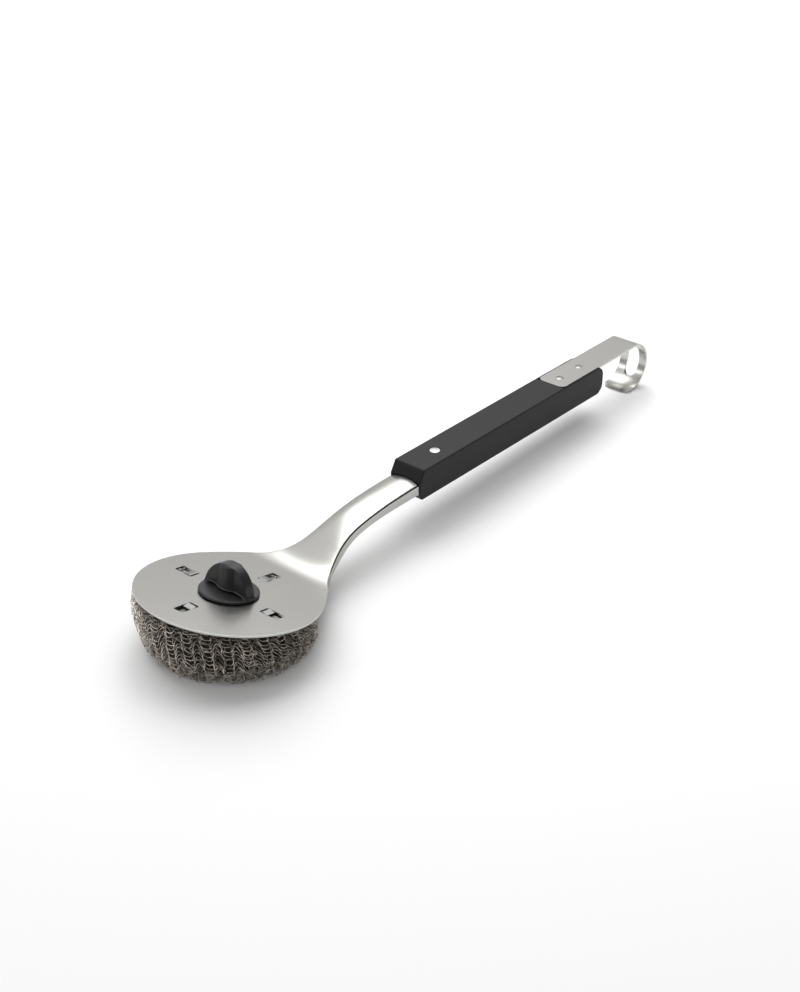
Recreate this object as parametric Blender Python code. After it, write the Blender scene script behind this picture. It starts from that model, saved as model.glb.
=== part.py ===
"""Round grill brush resting on its scourer and its hook.

A pressed steel disc runs through a wide bend into an arched, flanged neck, and
the neck's tang is riveted into a moulded handle with a hook strap let into its
top. Under the disc four claws hold a knitted scourer. A knob on top turns a
scroll plate whose spiral slots draw the claws in and let them out together.

The origin is on the surface that the brush stands on, below the disc's centre.
+Y runs along the handle and +Z points up. All lengths are in metres.
"""

import math

import bmesh
import bpy
from mathutils import Vector

# Clearances shared by all pieces
GAP = 0.0003
OVERRUN = 0.002

# Disc, bend and neck, one pressed sheet
SHEET = 0.0015
DISC_RADIUS = 0.052
DISC_HEIGHT = 0.0278
HEAD_TILT = math.radians(12.0)
RIM_DROP = 0.0007
NECK_SINK = 0.0009
FOLD_RADIUS = 0.0018
BEND_LEAD = 0.006
BEND_START = DISC_RADIUS - BEND_LEAD
NECK_RUN = 0.1065
NECK_WIDTH = 0.0216
FLANGE_DEPTH = 0.0052
FLANGE_END_DEPTH = 0.0065
CROWN = 0.0016
TANG_LENGTH = 0.045
CROWN_FADE = 0.008
FLARE_ANGLE = math.radians(119.4)
FLARE_RUN_SHARE = 0.51
FLARE_PULL_SHARES = (0.36, 0.39)
ARCH_RUN_SHARES = (0.0, 0.1, 0.21, 0.3, 0.4, 0.5, 0.62, 0.78, 1.0)
ARCH_ANGLES = (2.8, 19.0, 21.7, 17.0, 9.9, 5.3, 1.6, -1.1)
BORE_RADIUS = 0.0064
SLOT_INSET = 0.0198
SLOT_CENTRE = DISC_RADIUS - SLOT_INSET
SLOT_LENGTH = 0.0126
SLOT_WIDTH = 0.0068
SLOT_CORNER = 0.0007

# Scourer, a soft puck squashed level under the tilted disc and leaning to the left
SCOURER_INSET = 0.0023
SCOURER_RADIUS = DISC_RADIUS - SCOURER_INSET
SCOURER_BASE_SHIFT = (0.001, 0.0)
SCOURER_TOP_SHIFT = (-0.0045, -0.0035)
SCOURER_BASE_ROUNDING = 0.0075
SCOURER_TOP_ROUNDING = 0.0055
SCOURER_LEVEL_SHARES = (0.0, 0.035, 0.1, 0.22, 0.4, 0.6, 0.8, 0.93, 1.0)
SCOURER_BULGE_SHARES = (0.0, 0.36, 0.62, 0.88, 1.0, 1.0, 0.84, 0.52, 0.0)

# Claws
CLAW_WIDTH = 0.009
CLAW_SHEET = 0.001
CLAW_START = 0.0084
CLAW_INSET = 0.0125
CLAW_REACH = DISC_RADIUS - CLAW_INSET
CLAW_DEPTH = 0.0102
CLAW_FOOT = 0.006
CLAW_BEND = 0.0015
CLAW_TRAVEL = 0.006
CLAW_ROOM = 0.0006
TONGUE_WIDTH = 0.0052
TONGUE_LENGTH = 0.0042
TONGUE_RISE = 0.0006
TONGUE_BEND = 0.0009
WINDOW_LENGTH = 0.0058

# Scroll plate and the pins that run in it
SCROLL_RADIUS = 0.021
SCROLL_SHEET = 0.0012
PIN_RADIUS = 0.0015
PIN_START = 0.011
PIN_TAIL = 0.0009
OPEN_TURN = math.radians(90.0)

# Knob
KNOB_RADIUS = 0.0169
KNOB_RIM = 0.0017
KNOB_RISE = 0.0004
KNOB_EDGE = 0.0006
KNOB_HEIGHT = 0.0171
GRIP_LENGTH = 0.0306
GRIP_THICKNESS = 0.0066
GRIP_ARCH_SHARES = (
    (1.0, 0.0),
    (0.975, 0.1),
    (0.935, 0.22),
    (0.87, 0.36),
    (0.78, 0.5),
    (0.66, 0.63),
    (0.52, 0.77),
    (0.38, 0.89),
    (0.25, 0.965),
    (0.13, 0.995),
    (0.0, 1.0),
)
COLUMN_WIDTH = 0.0146
COLUMN_DEPTH = 0.0116
COLUMN_TOP_WIDTH = 0.0092
COLUMN_TOP_DEPTH = 0.0084
CREST_WIDTH = 0.006
CREST_SLOPE = math.radians(40.0)
LIP_LEVEL = 0.0028
LIP_SHEET = 0.0005
LIP_REACH = 0.0003
LIP_UNDERCUT = 0.0006
LIP_DROOP = 0.0009
DROOP_PLACE_SHARE = 0.62
HUB_RADIUS = 0.006
HEX_FLATS = 0.007
HEX_END_FLATS = 0.0058
SPINDLE_DEPTH = 0.009

# Washers and the screw below the scroll plate
KNOB_WASHER_RADIUS = 0.012
KNOB_WASHER_BORE = 0.007
KNOB_WASHER_SHEET = 0.0004
WAVE_OUTER = 0.0078
WAVE_INNER = 0.0052
WAVE_SHEET = 0.0004
WAVE_RISE = 0.0002
WAVES = 3
SCREW_RADIUS = 0.0016
SCREW_HEAD_RADIUS = 0.0038
SCREW_HEAD = 0.0022
SCREW_LENGTH = 0.009
SOCKET_FLATS = 0.003
SCREW_WASHER_RADIUS = 0.0062
SCREW_WASHER_SHEET = 0.0008

# Handle
HANDLE_LENGTH = 0.195
HANDLE_WIDTH = 0.0232
HANDLE_HEIGHT = 0.0198
HANDLE_ROUNDING = 0.0009
HANDLE_BROW = 0.0042
HANDLE_BROW_DROP = 0.0075
HANDLE_CHIN = 0.0026
HANDLE_CHIN_RISE = 0.0054
HANDLE_TAIL = 0.0048
HANDLE_TAIL_DROP = 0.0055
TAIL_NOSE = 0.0012
TANG_LEVEL = 0.0014

# Rivet near the front of the handle
RIVET_PLACE = 0.0283
RIVET_RADIUS = 0.002
RIVET_HEAD_RADIUS = 0.0034
RIVET_HEAD = 0.0014

# Hook strap
STRAP_WIDTH = 0.0204
STRAP_SHEET = 0.0015
STRAP_SEAT = 0.046
STRAP_REACH = 0.04
STRAP_START = HANDLE_LENGTH - STRAP_SEAT
HOOK_START = HANDLE_LENGTH + STRAP_REACH
HOOK_RADIUS = 0.0174
HOOK_TURN = math.radians(201.0)
STRAP_CORNER = 0.003
TIP_CORNER = 0.0055
EYE_WIDTH = 0.0092
EYE_HEIGHT = 0.0245
EYE_DROP = 0.0005
PEG_INSET = 0.0106
PEG_SPACING = 0.0224
PEG_PLACES = (STRAP_START + PEG_INSET, STRAP_START + PEG_INSET + PEG_SPACING)
PEG_RADIUS = 0.00215
PEG_LENGTH = 0.009

ROUND_STEPS = 32
DISC_STEPS = 22
FLARE_STEPS = 16
NECK_STEPS = 7
ACROSS_STEPS = 8
FOLD_STEPS = 4
SPIRAL_STEPS = 10
COLUMN_STEPS = 10


def material(name, colour, roughness, metallic):
    made = bpy.data.materials.new(name)
    made.use_nodes = True
    shader = made.node_tree.nodes["Principled BSDF"]
    shader.inputs["Base Color"].default_value = (*colour, 1.0)
    shader.inputs["Roughness"].default_value = roughness
    shader.inputs["Metallic"].default_value = metallic
    return made


def empty(name, location, turn=(0.0, 0.0, 0.0), parent=None):
    made = bpy.data.objects.new(name, None)
    made.location = location
    made.rotation_euler = turn
    made.parent = parent
    bpy.context.scene.collection.objects.link(made)
    return made


def solid(name, shape, look=None, parent=None, turn=0.0):
    """An object made from a bmesh, shaded smooth with its corners kept sharp."""
    bmesh.ops.recalc_face_normals(shape, faces=shape.faces)
    mesh = bpy.data.meshes.new(name)
    shape.to_mesh(mesh)
    shape.free()
    mesh.shade_smooth()
    mesh.set_sharp_from_angle(angle=math.radians(35.0))
    if look:
        mesh.materials.append(look)
    made = bpy.data.objects.new(name, mesh)
    made.parent = parent
    made.rotation_euler = (0.0, 0.0, turn)
    bpy.context.scene.collection.objects.link(made)
    return made


def helper(made):
    """Hides a cutter or a shape that is joined into another."""
    made.hide_render = True
    made.display_type = "WIRE"
    made.hide_set(True)
    return made


def combine(made, other, operation="DIFFERENCE"):
    change = made.modifiers.new(other.name, "BOOLEAN")
    change.operation = operation
    change.solver = "EXACT"
    change.object = helper(other)


def prism(outline, direction, low, high):
    """Extrudes an outline of flat points from low to high along an axis."""
    place = {
        "X": lambda a, b, c: (c, a, b),
        "Y": lambda a, b, c: (a, c, b),
        "Z": lambda a, b, c: (a, b, c),
    }[direction]
    shape = bmesh.new()
    base = shape.faces.new([shape.verts.new(place(a, b, low)) for a, b in outline])
    grown = bmesh.ops.extrude_face_region(shape, geom=[base])
    moved = [item for item in grown["geom"] if isinstance(item, bmesh.types.BMVert)]
    bmesh.ops.translate(shape, verts=moved, vec=place(0.0, 0.0, high - low))
    return shape


def circle(radius, steps=ROUND_STEPS, start=0.0):
    angles = [start + math.tau * step / steps for step in range(steps)]
    return [(radius * math.cos(angle), radius * math.sin(angle)) for angle in angles]


def hexagon(flats):
    return circle(flats / math.sqrt(3.0), 6)


def turned(profile, steps=ROUND_STEPS):
    """Turns a closed profile of (radius, height) points about the Z axis."""
    shape = bmesh.new()
    rings = []
    for radius, height in profile:
        if radius == 0.0:
            rings.append([shape.verts.new((0.0, 0.0, height))])
            continue
        rings.append([shape.verts.new((x, y, height)) for x, y in circle(radius, steps)])
    for ring, after in zip(rings, rings[1:] + rings[:1]):
        for step in range(steps):
            corners = [
                ring[step % len(ring)],
                ring[(step + 1) % len(ring)],
                after[(step + 1) % len(after)],
                after[step % len(after)],
            ]
            unique = list(dict.fromkeys(corners))
            if len(unique) > 2:
                shape.faces.new(unique)
    return shape


def ring(outer, inner, low, high):
    return turned([(outer, low), (outer, high), (inner, high), (inner, low)])


def box(x_range, y_range, z_range):
    (left, right), (near, far) = x_range, y_range
    return prism([(left, near), (right, near), (right, far), (left, far)], "Z", *z_range)


def strip(path, half_width, thickness):
    """A flat band bent along a path of (along, up) points, its width across X."""
    shape = bmesh.new()
    sections = []
    for index, (along, up) in enumerate(path):
        before = Vector(path[max(index - 1, 0)])
        after = Vector(path[min(index + 1, len(path) - 1)])
        run = (after - before).normalized()
        side = Vector((-run.y, run.x)) * thickness / 2.0
        wide = half_width(index)
        centre = Vector((along, up))
        corners = [(-wide, centre + side), (wide, centre + side)]
        corners += [(wide, centre - side), (-wide, centre - side)]
        sections.append([shape.verts.new((x, point.x, point.y)) for x, point in corners])
    for section, after in zip(sections, sections[1:]):
        for corner in range(4):
            other = (corner + 1) % 4
            shape.faces.new([section[corner], section[other], after[other], after[corner]])
    shape.faces.new(sections[0])
    shape.faces.new(sections[-1])
    return shape


def arc(centre, radius, start, end, steps):
    turns = [start + (end - start) * step / steps for step in range(steps + 1)]
    return [(centre[0] + radius * math.cos(a), centre[1] + radius * math.sin(a)) for a in turns]


def between(low, high, share):
    return low + (high - low) * share


def eased(share):
    share = min(max(share, 0.0), 1.0)
    return share * share * (3.0 - 2.0 * share)


# The line that the sheet's top face follows from the disc to the handle
NECK_END = BEND_START + NECK_RUN
RAIL_STEP = NECK_RUN / 400.0


def slope(place):
    """The sheet's angle to the level at a distance along it from the disc's centre."""
    share = (place - BEND_START) / NECK_RUN
    if share <= 0.0:
        return -HEAD_TILT
    angles = (-HEAD_TILT,) + tuple(math.radians(angle) for angle in ARCH_ANGLES)
    for index in range(1, len(angles)):
        low = ARCH_RUN_SHARES[index - 1]
        high = ARCH_RUN_SHARES[index]
        if share <= high:
            return between(angles[index - 1], angles[index], (share - low) / (high - low))
    return angles[-1]


def follow_rail():
    """Points (y, z) one step apart along the sheet, starting at the disc's centre."""
    points = [(0.0, DISC_HEIGHT)]
    count = math.ceil((NECK_END + TANG_LENGTH) / RAIL_STEP) + 1
    for index in range(count):
        angle = slope((index + 0.5) * RAIL_STEP)
        y, z = points[-1]
        points.append((y + RAIL_STEP * math.cos(angle), z + RAIL_STEP * math.sin(angle)))
    return points


RAIL = follow_rail()


def on_sheet(x, place, lift=0.0):
    """The point above the sheet's plan position (x, place), lifted off its top face."""
    angle = slope(place)
    lift -= NECK_SINK * eased((place - BEND_START) / (NECK_RUN * ARCH_RUN_SHARES[3]))
    if place <= 0.0:
        y = place * math.cos(angle)
        z = DISC_HEIGHT + place * math.sin(angle)
    else:
        index = min(int(place / RAIL_STEP), len(RAIL) - 2)
        share = place / RAIL_STEP - index
        y = between(RAIL[index][0], RAIL[index + 1][0], share)
        z = between(RAIL[index][1], RAIL[index + 1][1], share)
    return Vector((x, y - lift * math.sin(angle), z + lift * math.cos(angle)))


def sheet_outline():
    """Right half of the developed outline, from the disc's toe to the handle."""
    points = []
    for step in range(DISC_STEPS):
        angle = FLARE_ANGLE * step / DISC_STEPS
        points.append(Vector((DISC_RADIUS * math.sin(angle), -DISC_RADIUS * math.cos(angle))))
    start = Vector((DISC_RADIUS * math.sin(FLARE_ANGLE), -DISC_RADIUS * math.cos(FLARE_ANGLE)))
    end = Vector((NECK_WIDTH / 2.0, BEND_START + NECK_RUN * FLARE_RUN_SHARE))
    leave = Vector((math.cos(FLARE_ANGLE), math.sin(FLARE_ANGLE)))
    pulls = [share * NECK_RUN for share in FLARE_PULL_SHARES]
    first = start + leave * pulls[0]
    second = end - Vector((0.0, 1.0)) * pulls[1]
    for step in range(FLARE_STEPS):
        t = step / FLARE_STEPS
        u = 1.0 - t
        points.append(start * u**3 + first * 3 * u * u * t + second * 3 * u * t * t + end * t**3)
    for step in range(NECK_STEPS + 1):
        points.append(Vector((end.x, between(end.y, NECK_END, step / NECK_STEPS))))
    return points


def crown(place):
    """How far the neck's middle stands above its folds."""
    rise = eased((place - BEND_START) / (NECK_RUN * ARCH_RUN_SHARES[4]))
    fade = 1.0 - eased((place - NECK_END) / CROWN_FADE)
    return CROWN * rise * fade


def flange(place):
    """How deep the edge is turned down, from a soft rim to the neck's full flange."""
    if place <= BEND_START:
        return RIM_DROP
    share = (place - BEND_START) / NECK_RUN
    neck = between(RIM_DROP, FLANGE_DEPTH, eased(share / ARCH_RUN_SHARES[3]))
    return between(neck, FLANGE_END_DEPTH, eased((share - ARCH_RUN_SHARES[5]) * 2.0))


def fold_points(outer, normal, place):
    """Points from the top face round the fold to the flange's lower edge."""
    depth = flange(place)
    inner_half = max(outer.x - FOLD_RADIUS, FOLD_RADIUS)
    lead = math.atan(2.0 * crown(place) / inner_half)
    full = math.acos(max(math.cos(lead) - depth / FOLD_RADIUS, 0.0))
    bent = FOLD_RADIUS * (full - lead)
    straight = max(depth - FOLD_RADIUS * math.cos(lead), 0.0)
    points = []
    for step in range(FOLD_STEPS + 1):
        run = (bent + straight) * step / FOLD_STEPS
        angle = lead + min(run, bent) / FOLD_RADIUS
        inset = FOLD_RADIUS * (math.sin(full) - math.sin(angle))
        drop = FOLD_RADIUS * (math.cos(lead) - math.cos(angle)) + max(run - bent, 0.0)
        spot = outer - normal * inset
        points.append((spot.x, spot.y, -drop))
    return points


def make_head_plate(look):
    outline = sheet_outline()
    shape = bmesh.new()
    folds = []
    for index, spot in enumerate(outline):
        before = outline[index - 1] if index else Vector((-outline[1].x, outline[1].y))
        after = outline[min(index + 1, len(outline) - 1)]
        run = (after - before).normalized()
        folds.append(fold_points(spot, Vector((run.y, -run.x)), spot.y))

    def vertex(x, place, lift):
        return shape.verts.new(on_sheet(x, place, lift))

    tip = [vertex(0.0, place, lift) for _, place, lift in folds[0]]
    rows = [[tip[0]] * (ACROSS_STEPS + 1)]
    rights = [tip]
    lefts = [tip]
    for points in folds[1:]:
        half, place, _ = points[0]
        shares = [2.0 * step / ACROSS_STEPS - 1.0 for step in range(ACROSS_STEPS + 1)]
        rows.append([vertex(half * s, place, crown(place) * (1.0 - s * s)) for s in shares])
        rights.append([rows[-1][-1]] + [vertex(*point) for point in points[1:]])
        lefts.append([rows[-1][0]] + [vertex(-x, y, z) for x, y, z in points[1:]])
    half, place, _ = folds[-1][0]
    for step in range(1, NECK_STEPS + 1):
        reach = place + TANG_LENGTH * step / NECK_STEPS
        shares = [2.0 * step / ACROSS_STEPS - 1.0 for step in range(ACROSS_STEPS + 1)]
        rows.append([vertex(half * s, reach, crown(reach) * (1.0 - s * s)) for s in shares])

    def skin(lines, other_way=False):
        for line, after in zip(lines, lines[1:]):
            for step in range(len(line) - 1):
                corners = [line[step], line[step + 1], after[step + 1], after[step]]
                corners = list(dict.fromkeys(corners))
                if other_way:
                    corners.reverse()
                if len(corners) > 2:
                    shape.faces.new(corners)

    skin(rows)
    skin(rights)
    skin(lefts, other_way=True)
    mesh = bpy.data.meshes.new("head_plate")
    shape.to_mesh(mesh)
    shape.free()
    mesh.shade_smooth()
    mesh.materials.append(look)
    plate = bpy.data.objects.new("head_plate", mesh)
    bpy.context.scene.collection.objects.link(plate)
    thicken = plate.modifiers.new("sheet", "SOLIDIFY")
    thicken.thickness = SHEET
    thicken.offset = -1.0
    thicken.use_even_offset = True
    thicken.use_quality_normals = True
    return plate


def slot_outline():
    """A slot along +X with small rounded corners."""
    near = SLOT_CENTRE - SLOT_LENGTH / 2.0 + SLOT_CORNER
    far = SLOT_CENTRE + SLOT_LENGTH / 2.0 - SLOT_CORNER
    side = SLOT_WIDTH / 2.0 - SLOT_CORNER
    quarter = math.pi / 2.0
    centres = [(far, side), (near, side), (near, -side), (far, -side)]
    outline = []
    for index, centre in enumerate(centres):
        outline += arc(centre, SLOT_CORNER, quarter * index, quarter * (index + 1), 2)
    return outline


def make_scourer(look):
    """A round puck with a level base and a top that follows the disc."""
    tilt = math.tan(HEAD_TILT)
    under = DISC_HEIGHT - (SHEET + GAP) / math.cos(HEAD_TILT)
    shape = bmesh.new()
    rings = []
    for level, bulge in zip(SCOURER_LEVEL_SHARES, SCOURER_BULGE_SHARES):
        rounding = between(SCOURER_BASE_ROUNDING, SCOURER_TOP_ROUNDING, level)
        radius = SCOURER_RADIUS - rounding * (1.0 - bulge)
        ring_verts = []
        for x, y in circle(radius, 2 * ROUND_STEPS):
            x += between(SCOURER_BASE_SHIFT[0], SCOURER_TOP_SHIFT[0], level)
            y += between(SCOURER_BASE_SHIFT[1], SCOURER_TOP_SHIFT[1], level)
            ring_verts.append(shape.verts.new((x, y, level * (under - y * tilt))))
        rings.append(ring_verts)
    for low, high in zip(rings, rings[1:]):
        for step in range(len(low)):
            other = (step + 1) % len(low)
            shape.faces.new([low[step], low[other], high[other], high[step]])
    shape.faces.new(rings[0])
    shape.faces.new(rings[-1])
    return solid("scourer", shape, look)


# Levels in the head's own frame, where zero is the disc's top face
CLAW_TOP = -SHEET - GAP
CLAW_BOTTOM = CLAW_TOP - CLAW_SHEET
SCROLL_TOP = CLAW_BOTTOM - GAP
SCROLL_BOTTOM = SCROLL_TOP - SCROLL_SHEET
SCREW_WASHER_TOP = SCROLL_BOTTOM - GAP
SCREW_WASHER_BOTTOM = SCREW_WASHER_TOP - SCREW_WASHER_SHEET
SCREW_TOP = SCREW_WASHER_BOTTOM - GAP
FOOT_BOTTOM = CLAW_TOP - CLAW_DEPTH - CLAW_SHEET
SIDES = {"right": 0.0, "heel": 90.0, "left": 180.0, "toe": 270.0}


def along_x(shape):
    """Turns a strip that was built along -Y so that it runs along +X."""
    for vertex in shape.verts:
        x, y, z = vertex.co
        vertex.co = (-y, x, z)
    return shape


def tongue(level):
    """The tongue cut from a claw's arm and bent up through the disc's slot."""
    root = SLOT_CENTRE - SLOT_LENGTH / 2.0 + CLAW_ROOM + CLAW_SHEET / 2.0
    over = TONGUE_RISE - CLAW_SHEET / 2.0
    quarter = math.pi / 2.0
    path = [(root + 2.0 * TONGUE_BEND, level)]
    path += arc((root + TONGUE_BEND, level + TONGUE_BEND), TONGUE_BEND, -quarter, -2.0 * quarter, 4)
    path += arc((root + TONGUE_BEND, over - TONGUE_BEND), TONGUE_BEND, 2.0 * quarter, quarter, 4)
    path.append((root + TONGUE_LENGTH, over))
    path = [(-along, up) for along, up in path]
    return along_x(strip(path, lambda index: TONGUE_WIDTH / 2.0, CLAW_SHEET))


def make_claw(name, side, look, head):
    """A sheet claw along +X: arm, guide tongue, prong and inward foot."""
    middle = CLAW_SHEET / 2.0
    level = CLAW_TOP - middle
    outer = CLAW_REACH - CLAW_BEND
    foot_level = FOOT_BOTTOM + middle
    quarter = math.pi / 2.0
    path = [(CLAW_START, level), ((CLAW_START + CLAW_REACH) / 2.0, level)]
    path += arc((outer, level - CLAW_BEND), CLAW_BEND, quarter, 0.0, 4)
    path += arc((outer, foot_level + CLAW_BEND), CLAW_BEND, 0.0, -quarter, 4)
    path.append((CLAW_REACH - CLAW_FOOT, foot_level))
    path = [(-along, up) for along, up in path]
    shape = along_x(strip(path, lambda index: CLAW_WIDTH / 2.0, CLAW_SHEET))
    claw = solid("claw_" + name, shape, look, head, side)
    window_at = SLOT_CENTRE - SLOT_LENGTH / 2.0 + CLAW_ROOM + CLAW_SHEET / 2.0
    half_window = TONGUE_WIDTH / 2.0 + GAP
    window = box(
        (window_at, window_at + WINDOW_LENGTH),
        (-half_window, half_window),
        (CLAW_BOTTOM - OVERRUN, CLAW_TOP + GAP / 2.0),
    )
    combine(claw, solid(claw.name + "_window", window, None, head, side))
    combine(claw, solid(claw.name + "_tongue", tongue(level), None, head, side), "UNION")
    hole = prism(circle(PIN_RADIUS + GAP), "Z", CLAW_BOTTOM - OVERRUN, CLAW_TOP + OVERRUN)
    bmesh.ops.translate(hole, verts=hole.verts, vec=(PIN_START, 0.0, 0.0))
    combine(claw, solid(claw.name + "_hole", hole, None, head, side))


def make_pin(name, side, look, head):
    """The pin riveted into a claw's arm, with its tail in the scroll plate's slot."""
    low = SCROLL_BOTTOM - PIN_TAIL
    tip = PIN_RADIUS - GAP
    profile = [(0.0, low), (tip, low), (PIN_RADIUS, low + GAP), (PIN_RADIUS, CLAW_TOP - GAP)]
    shape = turned(profile + [(0.0, CLAW_TOP - GAP)], ROUND_STEPS // 2)
    bmesh.ops.translate(shape, verts=shape.verts, vec=(PIN_START, 0.0, 0.0))
    solid("follower_pin_" + name, shape, look, head, side)


def claw_room(name, side, head):
    """The space that a claw sweeps in the scourer, with a ledge left over its foot."""
    reach = CLAW_REACH + CLAW_SHEET / 2.0 + CLAW_TRAVEL + CLAW_ROOM
    prong = CLAW_REACH - CLAW_SHEET / 2.0 - CLAW_ROOM
    foot = CLAW_REACH - CLAW_FOOT - CLAW_ROOM
    low = FOOT_BOTTOM - CLAW_ROOM
    ledge = FOOT_BOTTOM + CLAW_SHEET + CLAW_ROOM
    arm = CLAW_BOTTOM - CLAW_ROOM
    inside = SCROLL_RADIUS - OVERRUN
    outline = [(inside, OVERRUN), (reach, OVERRUN), (reach, low), (foot, low)]
    outline += [(foot, ledge), (prong, ledge), (prong, arm), (inside, arm)]
    half = CLAW_WIDTH / 2.0 + CLAW_ROOM
    return solid("room_" + name, prism(outline, "Y", -half, half), None, head, side)


def spiral_slot(start, head):
    """The slot that carries one pin outward at an even rate as the knob turns."""
    rate = CLAW_TRAVEL / OPEN_TURN
    wide = PIN_RADIUS + GAP

    def centre(turn):
        reach = PIN_START + rate * turn
        return Vector((reach * math.cos(start - turn), reach * math.sin(start - turn)))

    edges = {1.0: [], -1.0: []}
    for step in range(SPIRAL_STEPS + 1):
        turn = OPEN_TURN * step / SPIRAL_STEPS
        near = OPEN_TURN / SPIRAL_STEPS / 2.0
        run = (centre(turn + near) - centre(turn - near)).normalized()
        across = Vector((-run.y, run.x))
        for way in edges:
            edges[way].append(centre(turn) + across * wide * way)
    outline = [tuple(point) for point in edges[1.0]]
    for turn, points in ((OPEN_TURN, edges[1.0]), (0.0, edges[-1.0])):
        middle = centre(turn)
        lead = points[-1] if turn else points[0]
        first = math.atan2(lead.y - middle.y, lead.x - middle.x)
        outline += arc(middle, wide, first, first - math.pi, 8)[1:-1]
        if turn:
            outline += [tuple(point) for point in reversed(edges[-1.0])]
    return prism(outline, "Z", SCROLL_BOTTOM - OVERRUN, SCROLL_TOP + OVERRUN)


def make_scroll_plate(look, axle):
    shape = prism(circle(SCROLL_RADIUS, 2 * ROUND_STEPS), "Z", SCROLL_BOTTOM, SCROLL_TOP)
    plate = solid("scroll_plate", shape, look, axle)
    for name, side in SIDES.items():
        slot = spiral_slot(math.radians(side), axle)
        combine(plate, solid("spiral_" + name, slot, None, axle))
    flats = HEX_END_FLATS + 2.0 * GAP
    seat = prism(hexagon(flats), "Z", SCROLL_BOTTOM - OVERRUN, SCROLL_TOP + OVERRUN)
    combine(plate, solid("scroll_seat", seat, None, axle))


def grip_section(swell, width, depth, height, droop=0.0):
    """A bar with an oval column in its middle, grown outward by swell, its ends drooping."""
    half = GRIP_LENGTH / 2.0 + swell
    thick = GRIP_THICKNESS / 2.0 + swell
    wide = width / 2.0 + swell
    deep = depth / 2.0 + swell
    bend = half * DROOP_PLACE_SHARE
    meet = math.asin(thick / deep)
    front = []
    for step in range(COLUMN_STEPS + 1):
        turn = between(meet - math.pi, -meet, step / COLUMN_STEPS)
        front.append((wide * math.cos(turn), deep * math.sin(turn), height))
    front = [(-half, -thick, height - droop), (-bend, -thick, height)] + front
    front += [(bend, -thick, height), (half, -thick, height - droop)]
    return front + [(-x, -y, z) for x, y, z in front]


def make_grip(base, axle):
    """The knob's grip: a bar and a column on a narrow neck with a lip, under an arched crest."""
    wall = LIP_LEVEL + LIP_SHEET
    foot = (COLUMN_WIDTH, COLUMN_DEPTH)
    levels = [
        (-LIP_UNDERCUT, *foot, base),
        (-LIP_UNDERCUT, *foot, LIP_LEVEL, LIP_DROOP),
        (LIP_REACH, *foot, LIP_LEVEL, LIP_DROOP),
        (LIP_REACH, *foot, wall, LIP_DROOP),
        (0.0, *foot, wall, LIP_DROOP),
        (0.0, COLUMN_TOP_WIDTH, COLUMN_TOP_DEPTH, KNOB_HEIGHT + OVERRUN),
    ]
    shape = bmesh.new()
    sections = [[shape.verts.new(point) for point in grip_section(*level)] for level in levels]
    for section, after in zip(sections, sections[1:]):
        for step in range(len(section)):
            other = (step + 1) % len(section)
            shape.faces.new([section[step], section[other], after[other], after[step]])
    shape.faces.new(sections[0])
    shape.faces.new(sections[-1])
    grip = solid("knob_grip", shape, None, axle)

    half = GRIP_LENGTH / 2.0
    outside = KNOB_RADIUS + OVERRUN
    right = [(half * along, between(wall, KNOB_HEIGHT, up)) for along, up in GRIP_ARCH_SHARES]
    left = [(-along, up) for along, up in right[-2::-1]]
    feet = [(-outside, wall), (-outside, -OVERRUN), (outside, -OVERRUN), (outside, wall)]
    arch = prism(feet + right + left, "Y", -outside, outside)
    combine(grip, solid("knob_arch", arch, None, axle), "INTERSECT")

    crest = CREST_WIDTH / 2.0
    low = KNOB_HEIGHT - (outside - crest) * math.tan(CREST_SLOPE)
    roof = [(-outside, -outside), (outside, -outside), (outside, low)]
    roof += [(crest, KNOB_HEIGHT), (-crest, KNOB_HEIGHT), (-outside, low)]
    combine(grip, solid("knob_roof", prism(roof, "X", -outside, outside), None, axle), "INTERSECT")
    return grip


def make_knob(look, axle):
    recess = KNOB_WASHER_SHEET + GAP
    washer_room = KNOB_WASHER_RADIUS + GAP
    side = KNOB_RADIUS - KNOB_EDGE
    corner = arc((side, KNOB_RIM - KNOB_EDGE), KNOB_EDGE, 0.0, math.pi / 2.0, 4)
    profile = [
        (0.0, -SHEET),
        (HUB_RADIUS, -SHEET),
        (HUB_RADIUS, GAP + recess),
        (washer_room, GAP + recess),
        (washer_room, GAP),
        (side, GAP),
        (KNOB_RADIUS, 2.0 * GAP),
        *corner,
        (HUB_RADIUS, KNOB_RIM + KNOB_RISE),
        (0.0, KNOB_RIM + KNOB_RISE),
    ]
    knob = solid("knob", turned(profile, 3 * ROUND_STEPS // 2), look, axle)
    combine(knob, make_grip(KNOB_RIM - KNOB_EDGE, axle), "UNION")
    socket = prism(hexagon(HEX_FLATS + 2.0 * GAP), "Z", -SHEET - OVERRUN, SPINDLE_DEPTH + GAP)
    combine(knob, solid("knob_socket", socket, None, axle))


def make_spindle(look, axle):
    """A hexagon bar from the knob's socket, stepped down where it drives the scroll plate."""
    shoulder = SCROLL_TOP + GAP
    spindle = solid("spindle", prism(hexagon(HEX_FLATS), "Z", shoulder, SPINDLE_DEPTH), look, axle)
    end = prism(hexagon(HEX_END_FLATS), "Z", SCROLL_BOTTOM, shoulder + SHEET)
    combine(spindle, solid("spindle_end", end, None, axle), "UNION")
    depth = SCREW_TOP + SCREW_LENGTH + GAP
    hole = prism(circle(SCREW_RADIUS + GAP, ROUND_STEPS // 2), "Z", SCROLL_BOTTOM - OVERRUN, depth)
    combine(spindle, solid("spindle_hole", hole, None, axle))


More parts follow.
